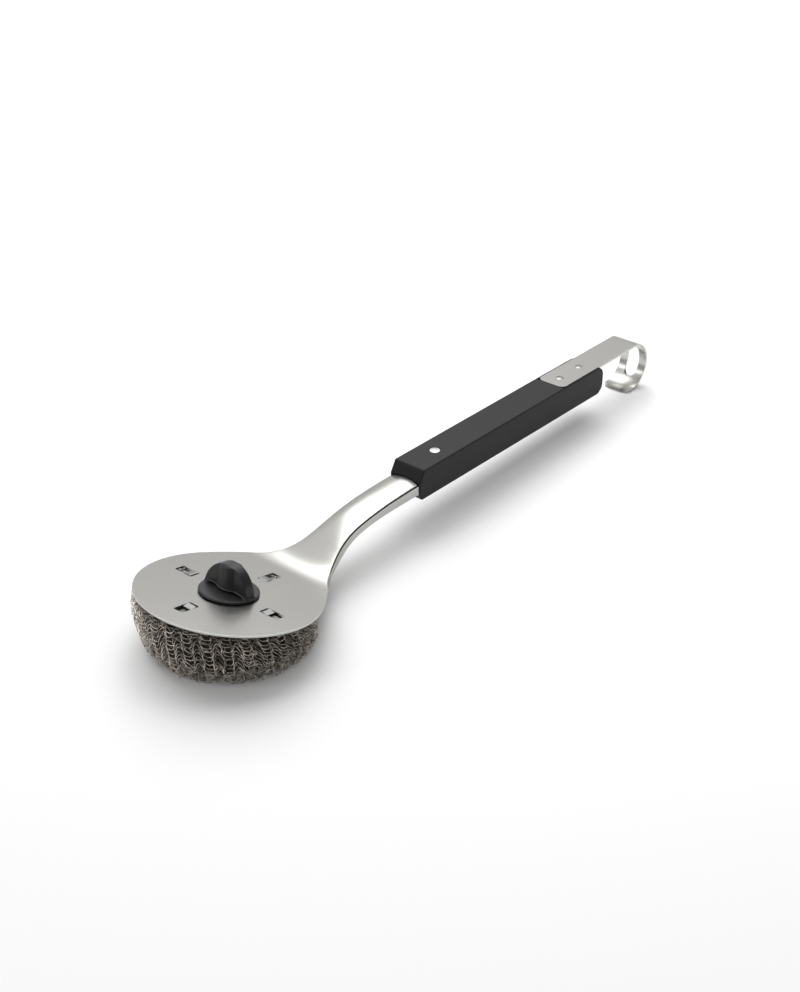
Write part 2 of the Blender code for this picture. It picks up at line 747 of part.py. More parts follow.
def make_wave_washer(look, axle):
    """A spring washer that waves up and down between the disc and the scroll plate."""
    shape = bmesh.new()
    middle = (SCROLL_TOP - SHEET) / 2.0
    steps = 3 * ROUND_STEPS // 2
    sections = []
    for step in range(steps):
        angle = math.tau * step / steps
        wave = middle + WAVE_RISE * math.cos(WAVES * angle)
        section = []
        for radius, lift in (
            (WAVE_OUTER, -WAVE_SHEET),
            (WAVE_OUTER, WAVE_SHEET),
            (WAVE_INNER, WAVE_SHEET),
            (WAVE_INNER, -WAVE_SHEET),
        ):
            x = radius * math.cos(angle)
            y = radius * math.sin(angle)
            section.append(shape.verts.new((x, y, wave + lift / 2.0)))
        sections.append(section)
    for section, after in zip(sections, sections[1:] + sections[:1]):
        for corner in range(4):
            other = (corner + 1) % 4
            shape.faces.new([section[corner], section[other], after[other], after[corner]])
    solid("wave_washer", shape, look, axle)


def make_fastening(steel, plastic, axle):
    low = KNOB_WASHER_BORE
    solid("knob_washer", ring(KNOB_WASHER_RADIUS, low, GAP, GAP + KNOB_WASHER_SHEET), plastic, axle)
    bore = SCREW_RADIUS + GAP
    washer = ring(SCREW_WASHER_RADIUS, bore, SCREW_WASHER_BOTTOM, SCREW_WASHER_TOP)
    solid("screw_washer", washer, steel, axle)
    edge = SCREW_HEAD / 4.0
    base = SCREW_TOP - SCREW_HEAD
    profile = [
        (0.0, base),
        (SCREW_HEAD_RADIUS - edge, base),
        (SCREW_HEAD_RADIUS, base + edge),
        (SCREW_HEAD_RADIUS, SCREW_TOP),
        (SCREW_RADIUS, SCREW_TOP),
        (SCREW_RADIUS, SCREW_TOP + SCREW_LENGTH),
        (0.0, SCREW_TOP + SCREW_LENGTH),
    ]
    screw = solid("spindle_screw", turned(profile, ROUND_STEPS // 2), steel, axle)
    socket = prism(hexagon(SOCKET_FLATS), "Z", base - OVERRUN, SCREW_TOP - SCREW_HEAD / 3.0)
    combine(screw, solid("screw_socket", socket, None, axle))


def make_handle(look, frame):
    """One moulded bar: its side outline across the width, with rounded edges."""
    top = HANDLE_HEIGHT / 2.0
    tail = HANDLE_LENGTH - HANDLE_TAIL
    outline = [
        (HANDLE_BROW, top),
        (0.0, top - HANDLE_BROW_DROP),
        (0.0, HANDLE_CHIN_RISE - top),
        (HANDLE_CHIN, -top),
        (tail, -top),
        (HANDLE_LENGTH - TAIL_NOSE, HANDLE_TAIL_DROP / 2.0 - top),
        (HANDLE_LENGTH, HANDLE_TAIL_DROP - top),
        (HANDLE_LENGTH, top - HANDLE_TAIL_DROP),
        (HANDLE_LENGTH - TAIL_NOSE, top - HANDLE_TAIL_DROP / 2.0),
        (tail, top),
    ]
    half = HANDLE_WIDTH / 2.0
    grip = solid("handle_grip", prism(outline, "X", -half, half), look, frame)
    rounding = grip.modifiers.new("rounding", "BEVEL")
    rounding.width = HANDLE_ROUNDING
    rounding.segments = 3
    rounding.limit_method = "ANGLE"
    rounding.angle_limit = math.radians(40.0)
    edge = Vector((NECK_WIDTH / 2.0, NECK_END))
    tang_half = fold_points(edge, Vector((1.0, 0.0)), NECK_END)[0][0] + 2.0 * GAP
    tang = box(
        (-tang_half, tang_half),
        (-OVERRUN, TANG_LENGTH + 2.0 * GAP),
        (TANG_LEVEL - SHEET - 2.0 * GAP, TANG_LEVEL + CROWN + GAP),
    )
    combine(grip, solid("tang_room", tang, None, frame))
    recess_half = STRAP_WIDTH / 2.0 + GAP
    recess = box(
        (-recess_half, recess_half),
        (STRAP_START - GAP, HANDLE_LENGTH + OVERRUN),
        (top - STRAP_SHEET - GAP, top + OVERRUN),
    )
    combine(grip, solid("strap_recess", recess, None, frame))
    room = RIVET_RADIUS + GAP
    head = RIVET_HEAD_RADIUS + GAP
    seat = top - RIVET_HEAD - GAP
    profile = [(0.0, top + OVERRUN), (head, top + OVERRUN), (head, seat), (room, seat)]
    profile += [(room, -seat), (head, -seat), (head, -top - OVERRUN), (0.0, -top - OVERRUN)]
    hole = turned(profile)
    bmesh.ops.translate(hole, verts=hole.verts, vec=(0.0, RIVET_PLACE, 0.0))
    combine(grip, solid("rivet_room", hole, None, frame))
    for index, place in enumerate(PEG_PLACES):
        low = top - STRAP_SHEET - PEG_LENGTH - GAP
        hole = prism(circle(PEG_RADIUS + GAP), "Z", low, top + OVERRUN)
        bmesh.ops.translate(hole, verts=hole.verts, vec=(0.0, place, 0.0))
        combine(grip, solid("peg_room_%d" % index, hole, None, frame))


def make_rivets(steel, frame, plate):
    top = HANDLE_HEIGHT / 2.0
    base = top - RIVET_HEAD
    end = -base - RIVET_HEAD / 2.0
    profile = [(0.0, end), (RIVET_RADIUS, end), (RIVET_RADIUS, base), (RIVET_HEAD_RADIUS, base)]
    rivet = turned(profile + [(RIVET_HEAD_RADIUS, top), (0.0, top)])
    burr = ring(RIVET_HEAD_RADIUS, RIVET_RADIUS + GAP, -top, -base)
    for name, shape in (("front_rivet", rivet), ("rivet_burr", burr)):
        bmesh.ops.translate(shape, verts=shape.verts, vec=(0.0, RIVET_PLACE, 0.0))
        solid(name, shape, steel, frame)
    hole = prism(circle(RIVET_RADIUS + GAP), "Z", -top, top)
    bmesh.ops.translate(hole, verts=hole.verts, vec=(0.0, RIVET_PLACE, 0.0))
    combine(plate, solid("tang_hole", hole, None, frame))


def make_strap(look, steel, frame):
    """A flat band let into the handle, rolled at its end into a hook with an eye."""
    top = HANDLE_HEIGHT / 2.0
    level = top - STRAP_SHEET / 2.0
    centre = (HOOK_START, top - HOOK_RADIUS)
    bend = HOOK_RADIUS - STRAP_SHEET / 2.0
    quarter = math.pi / 2.0
    starts = [STRAP_CORNER * (1.0 - math.cos(quarter * step / 4.0)) for step in range(5)]
    path = [(STRAP_START + start, level) for start in starts]
    lengths = list(starts)
    last = HOOK_START - STRAP_START
    path.append((HOOK_START, level))
    lengths.append(last)
    curl = HOOK_TURN * bend
    steps = 22
    stops = [between(0.0, curl - TIP_CORNER, step / steps) for step in range(1, steps + 1)]
    stops += [curl - TIP_CORNER * (1.0 - math.sin(quarter * step / 4.0)) for step in range(1, 5)]
    for stop in stops:
        angle = quarter - stop / bend
        path.append((centre[0] + bend * math.cos(angle), centre[1] + bend * math.sin(angle)))
        lengths.append(last + stop)
    total = lengths[-1]

    def half_width(index):
        half = STRAP_WIDTH / 2.0
        for corner, along in ((STRAP_CORNER, lengths[index]), (TIP_CORNER, total - lengths[index])):
            if along < corner:
                half -= corner - math.sqrt(max(corner**2 - (corner - along) ** 2, 0.0))
        return half

    strap = solid("hook_strap", strip(path, half_width, STRAP_SHEET), look, frame)
    for index, place in enumerate(PEG_PLACES):
        hole = prism(circle(PEG_RADIUS + GAP), "Z", top - STRAP_SHEET - OVERRUN, top + OVERRUN)
        bmesh.ops.translate(hole, verts=hole.verts, vec=(0.0, place, 0.0))
        combine(strap, solid("strap_hole_%d" % index, hole, None, frame))
        peg = prism(circle(PEG_RADIUS), "Z", top - STRAP_SHEET - PEG_LENGTH, top)
        bmesh.ops.translate(peg, verts=peg.verts, vec=(0.0, place, 0.0))
        solid(("hook_rivet_front", "hook_rivet_rear")[index], peg, steel, frame)
    rounding = EYE_WIDTH / 2.0
    upper = centre[1] - EYE_DROP + EYE_HEIGHT / 2.0 - rounding
    lower = centre[1] - EYE_DROP - EYE_HEIGHT / 2.0 + rounding
    eye = arc((0.0, upper), rounding, 0.0, math.pi, 10)
    eye += arc((0.0, lower), rounding, math.pi, math.tau, 10)
    reach = HOOK_START + HOOK_RADIUS
    cutter = prism(eye, "Y", HOOK_START + STRAP_SHEET, reach + OVERRUN)
    combine(strap, solid("hook_eye", cutter, None, frame))


def main():
    for old in list(bpy.data.objects):
        bpy.data.objects.remove(old)
    satin = material("satin_steel", (0.42, 0.41, 0.395), 0.32, 1.0)
    spring = material("spring_steel", (0.35, 0.35, 0.35), 0.28, 1.0)
    bright = material("bright_steel", (0.62, 0.61, 0.59), 0.2, 1.0)
    wool = material("knitted_steel", (0.16, 0.13, 0.11), 0.5, 0.8)
    black = material("black_plastic", (0.022, 0.022, 0.022), 0.45, 0.0)
    knob_black = material("knob_plastic", (0.015, 0.015, 0.015), 0.5, 0.0)
    washer = material("washer_plastic", (0.7, 0.7, 0.68), 0.5, 0.0)

    head = empty("head_frame", (0.0, 0.0, DISC_HEIGHT), (-HEAD_TILT, 0.0, 0.0))
    axle = empty("knob_axis", (0.0, 0.0, 0.0), parent=head)
    plate = make_head_plate(satin)
    bore = prism(circle(BORE_RADIUS), "Z", -SHEET - OVERRUN, OVERRUN)
    combine(plate, solid("disc_bore", bore, None, head))
    pad = make_scourer(wool)
    pocket_low = SCREW_TOP - SCREW_HEAD - OVERRUN
    pocket = prism(circle(SCROLL_RADIUS + OVERRUN), "Z", pocket_low, OVERRUN)
    combine(pad, solid("scroll_room", pocket, None, head))
    for name, degrees in SIDES.items():
        side = math.radians(degrees)
        slot = prism(slot_outline(), "Z", -SHEET - OVERRUN, OVERRUN)
        combine(plate, solid("slot_" + name, slot, None, head, side))
        combine(pad, claw_room(name, side, head))
        make_claw(name, side, spring, head)
        make_pin(name, side, bright, head)
    make_scroll_plate(spring, axle)
    make_knob(knob_black, axle)
    make_spindle(bright, axle)
    make_wave_washer(spring, axle)
    make_fastening(bright, washer, axle)

    end = on_sheet(0.0, NECK_END)
    pitch = slope(NECK_END)
    lift = TANG_LEVEL
    face = Vector((0.0, math.cos(pitch), math.sin(pitch))) * GAP
    rise = Vector((0.0, -math.sin(pitch), math.cos(pitch))) * lift
    frame = empty("handle_frame", end + face - rise, (pitch, 0.0, 0.0))
    make_handle(black, frame)
    make_rivets(bright, frame, plate)
    make_strap(satin, bright, frame)


main()
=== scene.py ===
"""Round grill brush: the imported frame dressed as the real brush.

A satin stainless head plate with its knob, claws and knitted steel scourer, a
moulded black handle and a steel hanging hook, on a pale studio floor. Lengths
are in metres, in the frame's own axes: +Y along the handle and +Z up.
"""

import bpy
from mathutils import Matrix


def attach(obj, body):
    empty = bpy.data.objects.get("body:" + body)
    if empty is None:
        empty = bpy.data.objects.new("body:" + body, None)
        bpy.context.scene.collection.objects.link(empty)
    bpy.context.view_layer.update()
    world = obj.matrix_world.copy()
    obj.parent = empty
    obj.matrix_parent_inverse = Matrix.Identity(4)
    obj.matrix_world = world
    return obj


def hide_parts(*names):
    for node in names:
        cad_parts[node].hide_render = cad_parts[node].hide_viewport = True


bl_info = {
    "name": "Round Grill Brush",
    "version": (1, 0, 0),
    "blender": (4, 5, 0),
    "location": "View3D > Sidebar > Grill Brush",
    "description": "Models and finishes a round grill brush with a knitted steel scourer",
    "category": "Object",
}

import math

import bmesh
import bpy
import numpy as np
from mathutils import Euler, Matrix, Quaternion, Vector, noise

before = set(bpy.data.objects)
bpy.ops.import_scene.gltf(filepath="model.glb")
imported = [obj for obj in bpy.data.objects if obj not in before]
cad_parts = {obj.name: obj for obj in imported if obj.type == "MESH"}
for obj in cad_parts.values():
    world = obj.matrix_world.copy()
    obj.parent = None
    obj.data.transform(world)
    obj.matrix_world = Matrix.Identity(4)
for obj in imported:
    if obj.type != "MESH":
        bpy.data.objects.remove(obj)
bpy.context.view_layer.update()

# Clearances
GAP = 0.0003
OVERRUN = 0.002
DISC_CUT = (-0.004, 0.002)
TANG_CUT = 0.009

# Disc, bend and neck, one pressed sheet
SHEET = 0.0015
SHEARED_EDGE = 0.00012
DISC_RADIUS = 0.052
DISC_HEIGHT = 0.0278
HEAD_TILT = math.radians(12.0)
RIM_DROP = 0.00003
SKIN = 0.0011
NECK_SINK = 0.0009
FOLD_RADIUS = 0.0018
BEND_START = 0.046
NECK_RUN = 0.1065
NECK_WIDTH = 0.0216
FLANGE_DEPTH = 0.0052
FLANGE_END_DEPTH = 0.0065
CROWN = 0.0016
CROWN_FADE = 0.008
TANG_LENGTH = 0.045
FLARE_ANGLE = math.radians(119.4)
FLARE_RUN_SHARE = 0.51
FLARE_PULL_SHARES = (0.36, 0.39)
ARCH_RUN_SHARES = (0.0, 0.1, 0.21, 0.3, 0.4, 0.5, 0.62, 0.78, 1.0)
ARCH_ANGLES = (2.8, 19.0, 21.7, 17.0, 9.9, 5.3, 1.6, -1.1)
BORE_RADIUS = 0.0064
SLOT_CENTRE = 0.0322
SLOT_LENGTH = 0.0126
SLOT_WIDTH = 0.0068
SLOT_CORNER = 0.0007
SIDES = {"right": 0.0, "heel": 90.0, "left": 180.0, "toe": 270.0}

# Claws
CLAW_WIDTH = 0.009
CLAW_SHEET = 0.001
CLAW_START = 0.0084
CLAW_REACH = 0.0395
CLAW_DEPTH = 0.0102
CLAW_FOOT = 0.006
CLAW_BEND = 0.0015
TONGUE_WIDTH = 0.006
TONGUE_LENGTH = 0.0042
TONGUE_INSET = 0.0006
TONGUE_RISE = 0.0003
TONGUE_DROOPS = {"right": 13.0, "heel": 3.0, "left": 3.0, "toe": 13.0}
TONGUE_BEND = 0.0009
WINDOW_LENGTH = 0.0047
PIN_START = 0.011
PIN_RADIUS = 0.0015

# Knob
KNOB_RADIUS = 0.0169
KNOB_RIM = 0.002
KNOB_RISE = 0.0004
KNOB_EDGE = 0.0009
KNOB_HEIGHT = 0.0171
GRIP_LENGTH = 0.0312
GRIP_THICKNESS = 0.0068
COLUMN_FOOT = (0.0146, 0.0116)
COLUMN_TOP = (0.0096, 0.0066)
COLUMN_BLENDS = (9.0, 2.4)
CREST_WIDTH = 0.007
CREST_SLOPE = math.radians(40.0)
LIP_LEVEL = 0.0031
LIP_SHEET = 0.0005
LIP_DROOP = 0.0009
LIP_UNDERCUT = 0.0026
LIP_BEAD_RADIUS = 0.0004
DROOP_PLACE_SHARE = 0.62
HUB_RADIUS = 0.006
HEX_FLATS = 0.007
SPINDLE_DEPTH = 0.009
WASHER_ROOM = 0.0123
WASHER_RECESS = 0.0007
ARCH_SHARES = (
    (1.0, 0.0),
    (0.975, 0.1),
    (0.94, 0.22),
    (0.89, 0.36),
    (0.815, 0.5),
    (0.715, 0.64),
    (0.59, 0.775),
    (0.45, 0.885),
    (0.3, 0.96),
    (0.13, 0.995),
    (0.0, 1.0),
)

# Handle
HANDLE_LENGTH = 0.195
HANDLE_WIDTH = 0.0232
HANDLE_HEIGHT = 0.0198
HANDLE_ROUNDING = 0.0009
HANDLE_BROW = (0.0042, 0.0075)
HANDLE_CHIN = (0.0026, 0.0054)
HANDLE_TAIL = (0.0048, 0.0055)
TAIL_NOSE = 0.0012
TANG_LEVEL = 0.0014
RIVET_PLACE = 0.0283
RIVET_RADIUS = 0.002
RIVET_HEAD_RADIUS = 0.0034
RIVET_HEAD = 0.0014
RIVET_EDGE = 0.0004

# Hook strap
STRAP_WIDTH = 0.0204
STRAP_SHEET = 0.0015
STRAP_EDGE = 0.0002
STRAP_START = 0.149
HOOK_START = 0.235
HOOK_RADIUS = 0.0174
HOOK_TURN = math.radians(201.0)
STRAP_CORNER = 0.0042
TIP_CORNER = 0.0055
EYE_WIDTH = 0.0092
EYE_HEIGHT = 0.0245
EYE_DROP = 0.0005
PEG_PLACES = (0.1596, 0.182)
PEG_RADIUS = 0.00215
PEG_LENGTH = 0.009
PEG_CROWN = (
    (PEG_RADIUS, -0.00016),
    (PEG_RADIUS - 0.00035, -0.00004),
    (PEG_RADIUS * 0.6, 0.0),
    (0.0, 0.00015),
)

# Scourer, a soft round pad squashed level under the tilted disc
PAD_RADIUS = 0.0497
PAD_BASE_SHIFT = (0.001, 0.0)
PAD_TOP_SHIFT = (-0.0045, -0.0035)
PAD_BASE_ROUNDING = 0.0075
PAD_TOP_ROUNDING = 0.0055
PAD_LEVELS = (0.0, 0.035, 0.1, 0.22, 0.4, 0.6, 0.8, 0.93, 1.0)
PAD_BULGES = (0.0, 0.36, 0.62, 0.88, 1.0, 1.0, 0.84, 0.52, 0.0)
PAD_HEIGHT = 0.027
PAD_INNER_RADII = (0.008, 0.026)
# The disc's lower side leans over the pad: its height on the knob's axis, and its fall
CEILING = DISC_HEIGHT - (SHEET + 2.0 * GAP) / math.cos(HEAD_TILT)
CEILING_FALL = math.tan(HEAD_TILT)
HEART_DEPTH = 0.0055
HEART_LUMPS = 0.0012
FACE_COURSE = 0.0034
LOOP_HANG = 0.0006
ROW_DRIFT = 0.05
WORN_HEIGHT = 0.014

# Studio, with its lamps' sizes in metres, powers in watts and turns in degrees
CAMERA_PLACE = (0.56322, -0.53304, 0.55075)
CAMERA_ANGLES = (59.02, 0.0, 39.71)
CAMERA_GLOW = 0.04
FLOOR_REACH = 3.0
UNLIT_SIDE = (0.726, -0.687, 0.0)
FLAG_PLACE = Vector((0.889, 0.746, 0.783))
BRUSH_MIDDLE = (0.0, 0.1, 0.02)
LAMPS = {
    "top_softbox": {
        "location": (-0.304, 0.571, 0.63),
        "aim": (-0.304, 0.571, 0.0),
        "size": (1.05, 0.45),
        "power": 3.0,
        "spin": 143.6,
    },
    "key_softbox": {
        "location": (-3.8, 2.3, 5.0),
        "aim": BRUSH_MIDDLE,
        "size": (6.4, 6.4),
        "power": 420.0,
        "glossy": False,
    },
    "glint_lamp": {
        "location": (-1.0, -1.2, 1.25),
        "aim": BRUSH_MIDDLE,
        "size": (0.5, 0.5),
        "power": 2.8,
    },
}


def linear(code):
    """A linear colour from an sRGB hex value."""
    parts = [int(code[place : place + 2], 16) / 255.0 for place in (1, 3, 5)]
    return tuple(p / 12.92 if p <= 0.04045 else ((p + 0.055) / 1.055) ** 2.4 for p in parts)


# ---------------------------------------------------------------- settings


COLOUR = {"subtype": "COLOR", "min": 0.0, "max": 1.0}
LENGTH = {"subtype": "DISTANCE", "unit": "LENGTH"}


class BrushFinishes(bpy.types.PropertyGroup):
    """Colours of the brush's finishes."""

    steel: bpy.props.FloatVectorProperty(
        name="Satin steel",
        description="Colour of the head plate and the hook strap",
        default=linear("#BCBBB7"),
        **COLOUR,
    )
    strip: bpy.props.FloatVectorProperty(
        name="Spring strip",
        description="Colour of the claws, the scroll plate and the spring washer",
        default=linear("#9C9C9B"),
        **COLOUR,
    )
    bright: bpy.props.FloatVectorProperty(
        name="Bright steel",
        description="Colour of the rivets, pins, spindle and screw",
        default=linear("#D0CECB"),
        **COLOUR,
    )
    wire: bpy.props.FloatVectorProperty(
        name="Scourer wire",
        description="Colour of the knitted wire",
        default=linear("#F2E7DA"),
        **COLOUR,
    )
    # Painted glints: the paler wire on the pad's lower bulge is brighter to stand in for light
    bright_wire: bpy.props.FloatVectorProperty(
        name="Glinting wire",
        description="Colour of the wire that is worn bright on the pad's lower bulge",
        default=linear("#FFF6E8"),
        **COLOUR,
    )
    handle: bpy.props.FloatVectorProperty(
        name="Handle plastic",
        description="Colour of the moulded handle",
        default=linear("#2B2B2C"),
        **COLOUR,
    )
    knob: bpy.props.FloatVectorProperty(
        name="Knob plastic",
        description="Colour of the moulded knob",
        default=linear("#202021"),
        **COLOUR,
    )


class ScourerSizes(bpy.types.PropertyGroup):
    """Sizes of the knitted wire."""

    wire_width: bpy.props.FloatProperty(
        name="Wire width",
        description="Width of the flat wire that the scourer is knitted from",
        default=0.0004,
        min=0.0002,
        max=0.002,
        **LENGTH,
    )
    wire_sheet: bpy.props.FloatProperty(
        name="Wire thickness",
        description="Thickness of the flat wire",
        default=0.00018,
        min=0.00005,
        max=0.001,
        **LENGTH,
    )
    course: bpy.props.FloatProperty(
        name="Course spacing",
        description="Distance from one row of loops to the next on the pad's side",
        default=0.002,
        min=0.001,
        max=0.01,
        **LENGTH,
    )
    wales: bpy.props.IntProperty(
        name="Wales",
        description="Columns of loops round the outermost layer",
        default=29,
        min=8,
        max=80,
    )


class StudioSettings(bpy.types.PropertyGroup):
    """The studio round the brush."""

    floor: bpy.props.FloatVectorProperty(
        name="Floor",
        description="Colour of the paper that the brush stands on",
        default=linear("#F3F3F3"),
        **COLOUR,
    )
    focal_length: bpy.props.FloatProperty(
        name="Focal length",
        description="Focal length of the camera on a 36 mm wide sensor",
        default=77.175,
        min=20.0,
        max=300.0,
        subtype="DISTANCE_CAMERA",
        unit="CAMERA",
    )


# ---------------------------------------------------------------- materials


def add_node(tree, kind, links=(), to=None, **settings):
    """Adds a node with its settings, feeds its inputs and sends its first output on.

    A link's source is a socket, or a node that gives its first output.
    """
    node = tree.nodes.new(kind)
    for name, value in settings.items():
        if hasattr(node, name):
            setattr(node, name, value)
        else:
            node.inputs[name.replace("_", " ")].default_value = value
    for name, source in dict(links).items():
        source = source.outputs[0] if isinstance(source, bpy.types.Node) else source
        tree.links.new(source, node.inputs[name])
    if to is not None:
        tree.links.new(node.outputs[0], to)
    return node


def new_finish(name, colour, metallic, roughness):
    """A material with its plain values on the shader's own sockets."""
    finish = bpy.data.materials.new(name)
    finish.use_nodes = True
    sockets = finish.node_tree.nodes["Principled BSDF"].inputs
    sockets["Base Color"].default_value = (*colour, 1.0)
    sockets["Metallic"].default_value = metallic
    sockets["Roughness"].default_value = roughness
    return finish, finish.node_tree, sockets


def satin_stainless(colour):
    """Stainless sheet, rolled and then blasted to a satin: even grey, with a faint drawn grain."""
    finish, tree, sockets = new_finish("satin_stainless_sheet", colour, 1.0, 0.34)
    spot = add_node(tree, "ShaderNodeTexCoord").outputs["Object"]
    # Grain lines 0.25 mm apart and 6 mm long, drawn coarser than the real ones so that they show
    drawn = add_node(tree, "ShaderNodeMapping", {"Vector": spot}, Scale=(4000.0, 160.0, 160.0))
    grain = add_node(
        tree, "ShaderNodeTexNoise", {"Vector": drawn}, Scale=1.0, Detail=3.0, Roughness=0.6
    )
    # Handling marks some 40 mm across change the sheen a little
    cloud = add_node(
        tree, "ShaderNodeTexNoise", {"Vector": spot}, Scale=25.0, Detail=2.0, Roughness=0.5
    )
    both = add_node(tree, "ShaderNodeMath", {0: grain, 1: cloud}, operation="MULTIPLY")
    sheen = {"From_Min": 0.05, "From_Max": 0.5, "To_Min": 0.25, "To_Max": 0.275}
    add_node(tree, "ShaderNodeMapRange", {"Value": both}, sockets["Roughness"], **sheen)
    relief = {"Strength": 0.04, "Distance": 0.00002}
    add_node(tree, "ShaderNodeBump", {"Height": grain}, sockets["Normal"], **relief)
    return finish


def spring_strip(colour):
    """Cold rolled spring strip, sheared and bent: a harder shine with light rolling lines."""
    finish, tree, sockets = new_finish("spring_steel_strip", colour, 1.0, 0.28)
    spot = add_node(tree, "ShaderNodeTexCoord").outputs["Object"]
    # Rolling lines a third of a millimetre apart and 5 mm long, coarser than the real ones
    rolled = add_node(tree, "ShaderNodeMapping", {"Vector": spot}, Scale=(3000.0, 3000.0, 200.0))
    lines = add_node(tree, "ShaderNodeTexNoise", {"Vector": rolled}, Scale=1.0, Detail=2.0)
    sheen = {"To_Min": 0.24, "To_Max": 0.38}
    add_node(tree, "ShaderNodeMapRange", {"Value": lines}, sockets["Roughness"], **sheen)
    return finish


def turned_steel(colour):
    """Bright turned and headed steel, such as a rivet: nearly white, with fine tool marks."""
    finish, tree, sockets = new_finish("bright_turned_steel", colour, 1.0, 0.22)
    spot = add_node(tree, "ShaderNodeTexCoord").outputs["Object"]
    # Marks about 1 mm across
    marks = add_node(tree, "ShaderNodeTexNoise", {"Vector": spot}, Scale=900.0, Detail=2.0)
    sheen = {"To_Min": 0.16, "To_Max": 0.32}
    add_node(tree, "ShaderNodeMapRange", {"Value": marks}, sockets["Roughness"], **sheen)
    return finish


def moulded_black(name, colour, roughness, grain, index):
    """Injection moulded plastic with a fine spark-eroded texture: matt, with a soft wide sheen."""
    finish, tree, sockets = new_finish(name, colour, 0.0, roughness)
    sockets["IOR"].default_value = index
    spot = add_node(tree, "ShaderNodeTexCoord").outputs["Object"]
    # Texture grains of about 0.4 mm, drawn a little coarser than the real ones
    pits = add_node(
        tree, "ShaderNodeTexNoise", {"Vector": spot}, Scale=grain, Detail=4.0, Roughness=0.65
    )
    sheen = {"From_Min": 0.3, "From_Max": 0.7}
    sheen.update(To_Min=roughness - 0.06, To_Max=roughness + 0.08)
    add_node(tree, "ShaderNodeMapRange", {"Value": pits}, sockets["Roughness"], **sheen)
    relief = {"Strength": 0.25, "Distance": 0.00006}
    add_node(tree, "ShaderNodeBump", {"Height": pits}, sockets["Normal"], **relief)
    return finish


def knitted_wire(name, colour, painted_dark_share, rough_range=(0.3, 0.12), metallic=1.0):
    """Flat drawn stainless wire: silver to straw brown from handling, with glints on its bends, and
    painted glints and painted shade in its colour.
    """
    finish, tree, sockets = new_finish(name, colour, metallic, 0.25)
    spot = add_node(tree, "ShaderNodeTexCoord").outputs["Object"]
    # The colour goes from dark to bright every 3 mm or so along a strand: painted shade and painted
    # glints, glossiest where brightest
    patch = add_node(
        tree, "ShaderNodeTexNoise", {"Vector": spot}, Scale=330.0, Detail=3.0, Roughness=0.6
    )
    tint_and_painted_glints = add_node(tree, "ShaderNodeValToRGB", {"Fac": patch}, sockets["Base Color"])
    ramp = tint_and_painted_glints.color_ramp.elements
    ramp[0].position, ramp[1].position = 0.36, 0.66
    ramp[0].color = (*[part * painted_dark_share for part in colour], 1.0)
    ramp[1].color = (*colour, 1.0)
    sheen = {"To_Min": rough_range[0], "To_Max": rough_range[1]}
    add_node(tree, "ShaderNodeMapRange", {"Value": patch}, sockets["Roughness"], **sheen)
    return finish


def wool_heart():
    """The tangle deep in the pad, where hardly any light comes back: a dark warm brown body,
    painted shade.
    """
    finish, tree, sockets = new_finish("scourer_heart", linear("#2A221C"), 0.4, 0.6)
    spot = add_node(tree, "ShaderNodeTexCoord").outputs["Object"]
    # Cells 2 mm across, near black to dark brown, stand for the loops that can't be told apart any
    # more: painted shade
    cells = add_node(tree, "ShaderNodeTexVoronoi", {"Vector": spot}, Scale=500.0, Randomness=1.0)
    shade = add_node(tree, "ShaderNodeValToRGB", {"Fac": cells}, sockets["Base Color"])
    shade.color_ramp.elements[0].color = (*linear("#0C0907"), 1.0)
    shade.color_ramp.elements[1].color = (*linear("#251D18"), 1.0)
    relief = {"Strength": 0.8, "Distance": 0.001}
    add_node(tree, "ShaderNodeBump", {"Height": cells}, sockets["Normal"], **relief)
    return finish


def natural_nylon():
    """Natural nylon, moulded thin: milky and a little waxy."""
    finish, tree, sockets = new_finish("natural_nylon", linear("#D8D6CD"), 0.0, 0.45)
    spot = add_node(tree, "ShaderNodeTexCoord").outputs["Object"]
    # Cloudy patches of about 3 mm
    cloud = add_node(tree, "ShaderNodeTexNoise", {"Vector": spot}, Scale=300.0)
    sheen = {"To_Min": 0.38, "To_Max": 0.52}
    add_node(tree, "ShaderNodeMapRange", {"Value": cloud}, sockets["Roughness"], **sheen)
    return finish


FINISHES = {}


def make_finishes(colours):
    """Makes each finish once."""
    FINISHES.update(
        satin=satin_stainless(tuple(colours.steel)),
        strip=spring_strip(tuple(colours.strip)),
        bright=turned_steel(tuple(colours.bright)),
        handle=moulded_black("handle_moulded_plastic", tuple(colours.handle), 0.34, 2500.0, 1.2),
        knob=moulded_black("knob_moulded_plastic", tuple(colours.knob), 0.4, 2200.0, 1.5),
        wire=knitted_wire("knitted_flat_wire", tuple(colours.wire), 0.3),
        # Painted glints: paler, rougher and less metallic wire on the pad's lower bulge, so that it
        # reads brighter than the rest
        bright_wire=knitted_wire(
            "knitted_wire_painted_glints", tuple(colours.bright_wire), 0.04, (0.45, 0.2), 0.3
        ),
        # Painted shade: the layer beneath is the same wire at 0.6 of its colour, darker as little
        # light reaches in
        inner_wire=knitted_wire(
            "knitted_wire_painted_shade", tuple(part * 0.6 for part in colours.wire), 0.4
        ),
        heart=wool_heart(),
        nylon=natural_nylon(),
    )


# ---------------------------------------------------------------- mesh helpers


def between(low, high, share):
    return low + (high - low) * share


def eased(share):
    """A share, or an array of shares, from 0 to 1 with a soft start and end."""
    share = np.clip(share, 0.0, 1.0)
    return share * share * (3.0 - 2.0 * share)


def circle(radius, steps):
    angles = [math.tau * step / steps for step in range(steps)]
    return [(radius * math.cos(angle), radius * math.sin(angle)) for angle in angles]


def arc(centre, radius, start, end, steps):
    turns = [start + (end - start) * step / steps for step in range(steps + 1)]
    return [(centre[0] + radius * math.cos(a), centre[1] + radius * math.sin(a)) for a in turns]


def new_object(name, data):
    made = bpy.data.objects.new(name, data)
    bpy.context.scene.collection.objects.link(made)
    return made


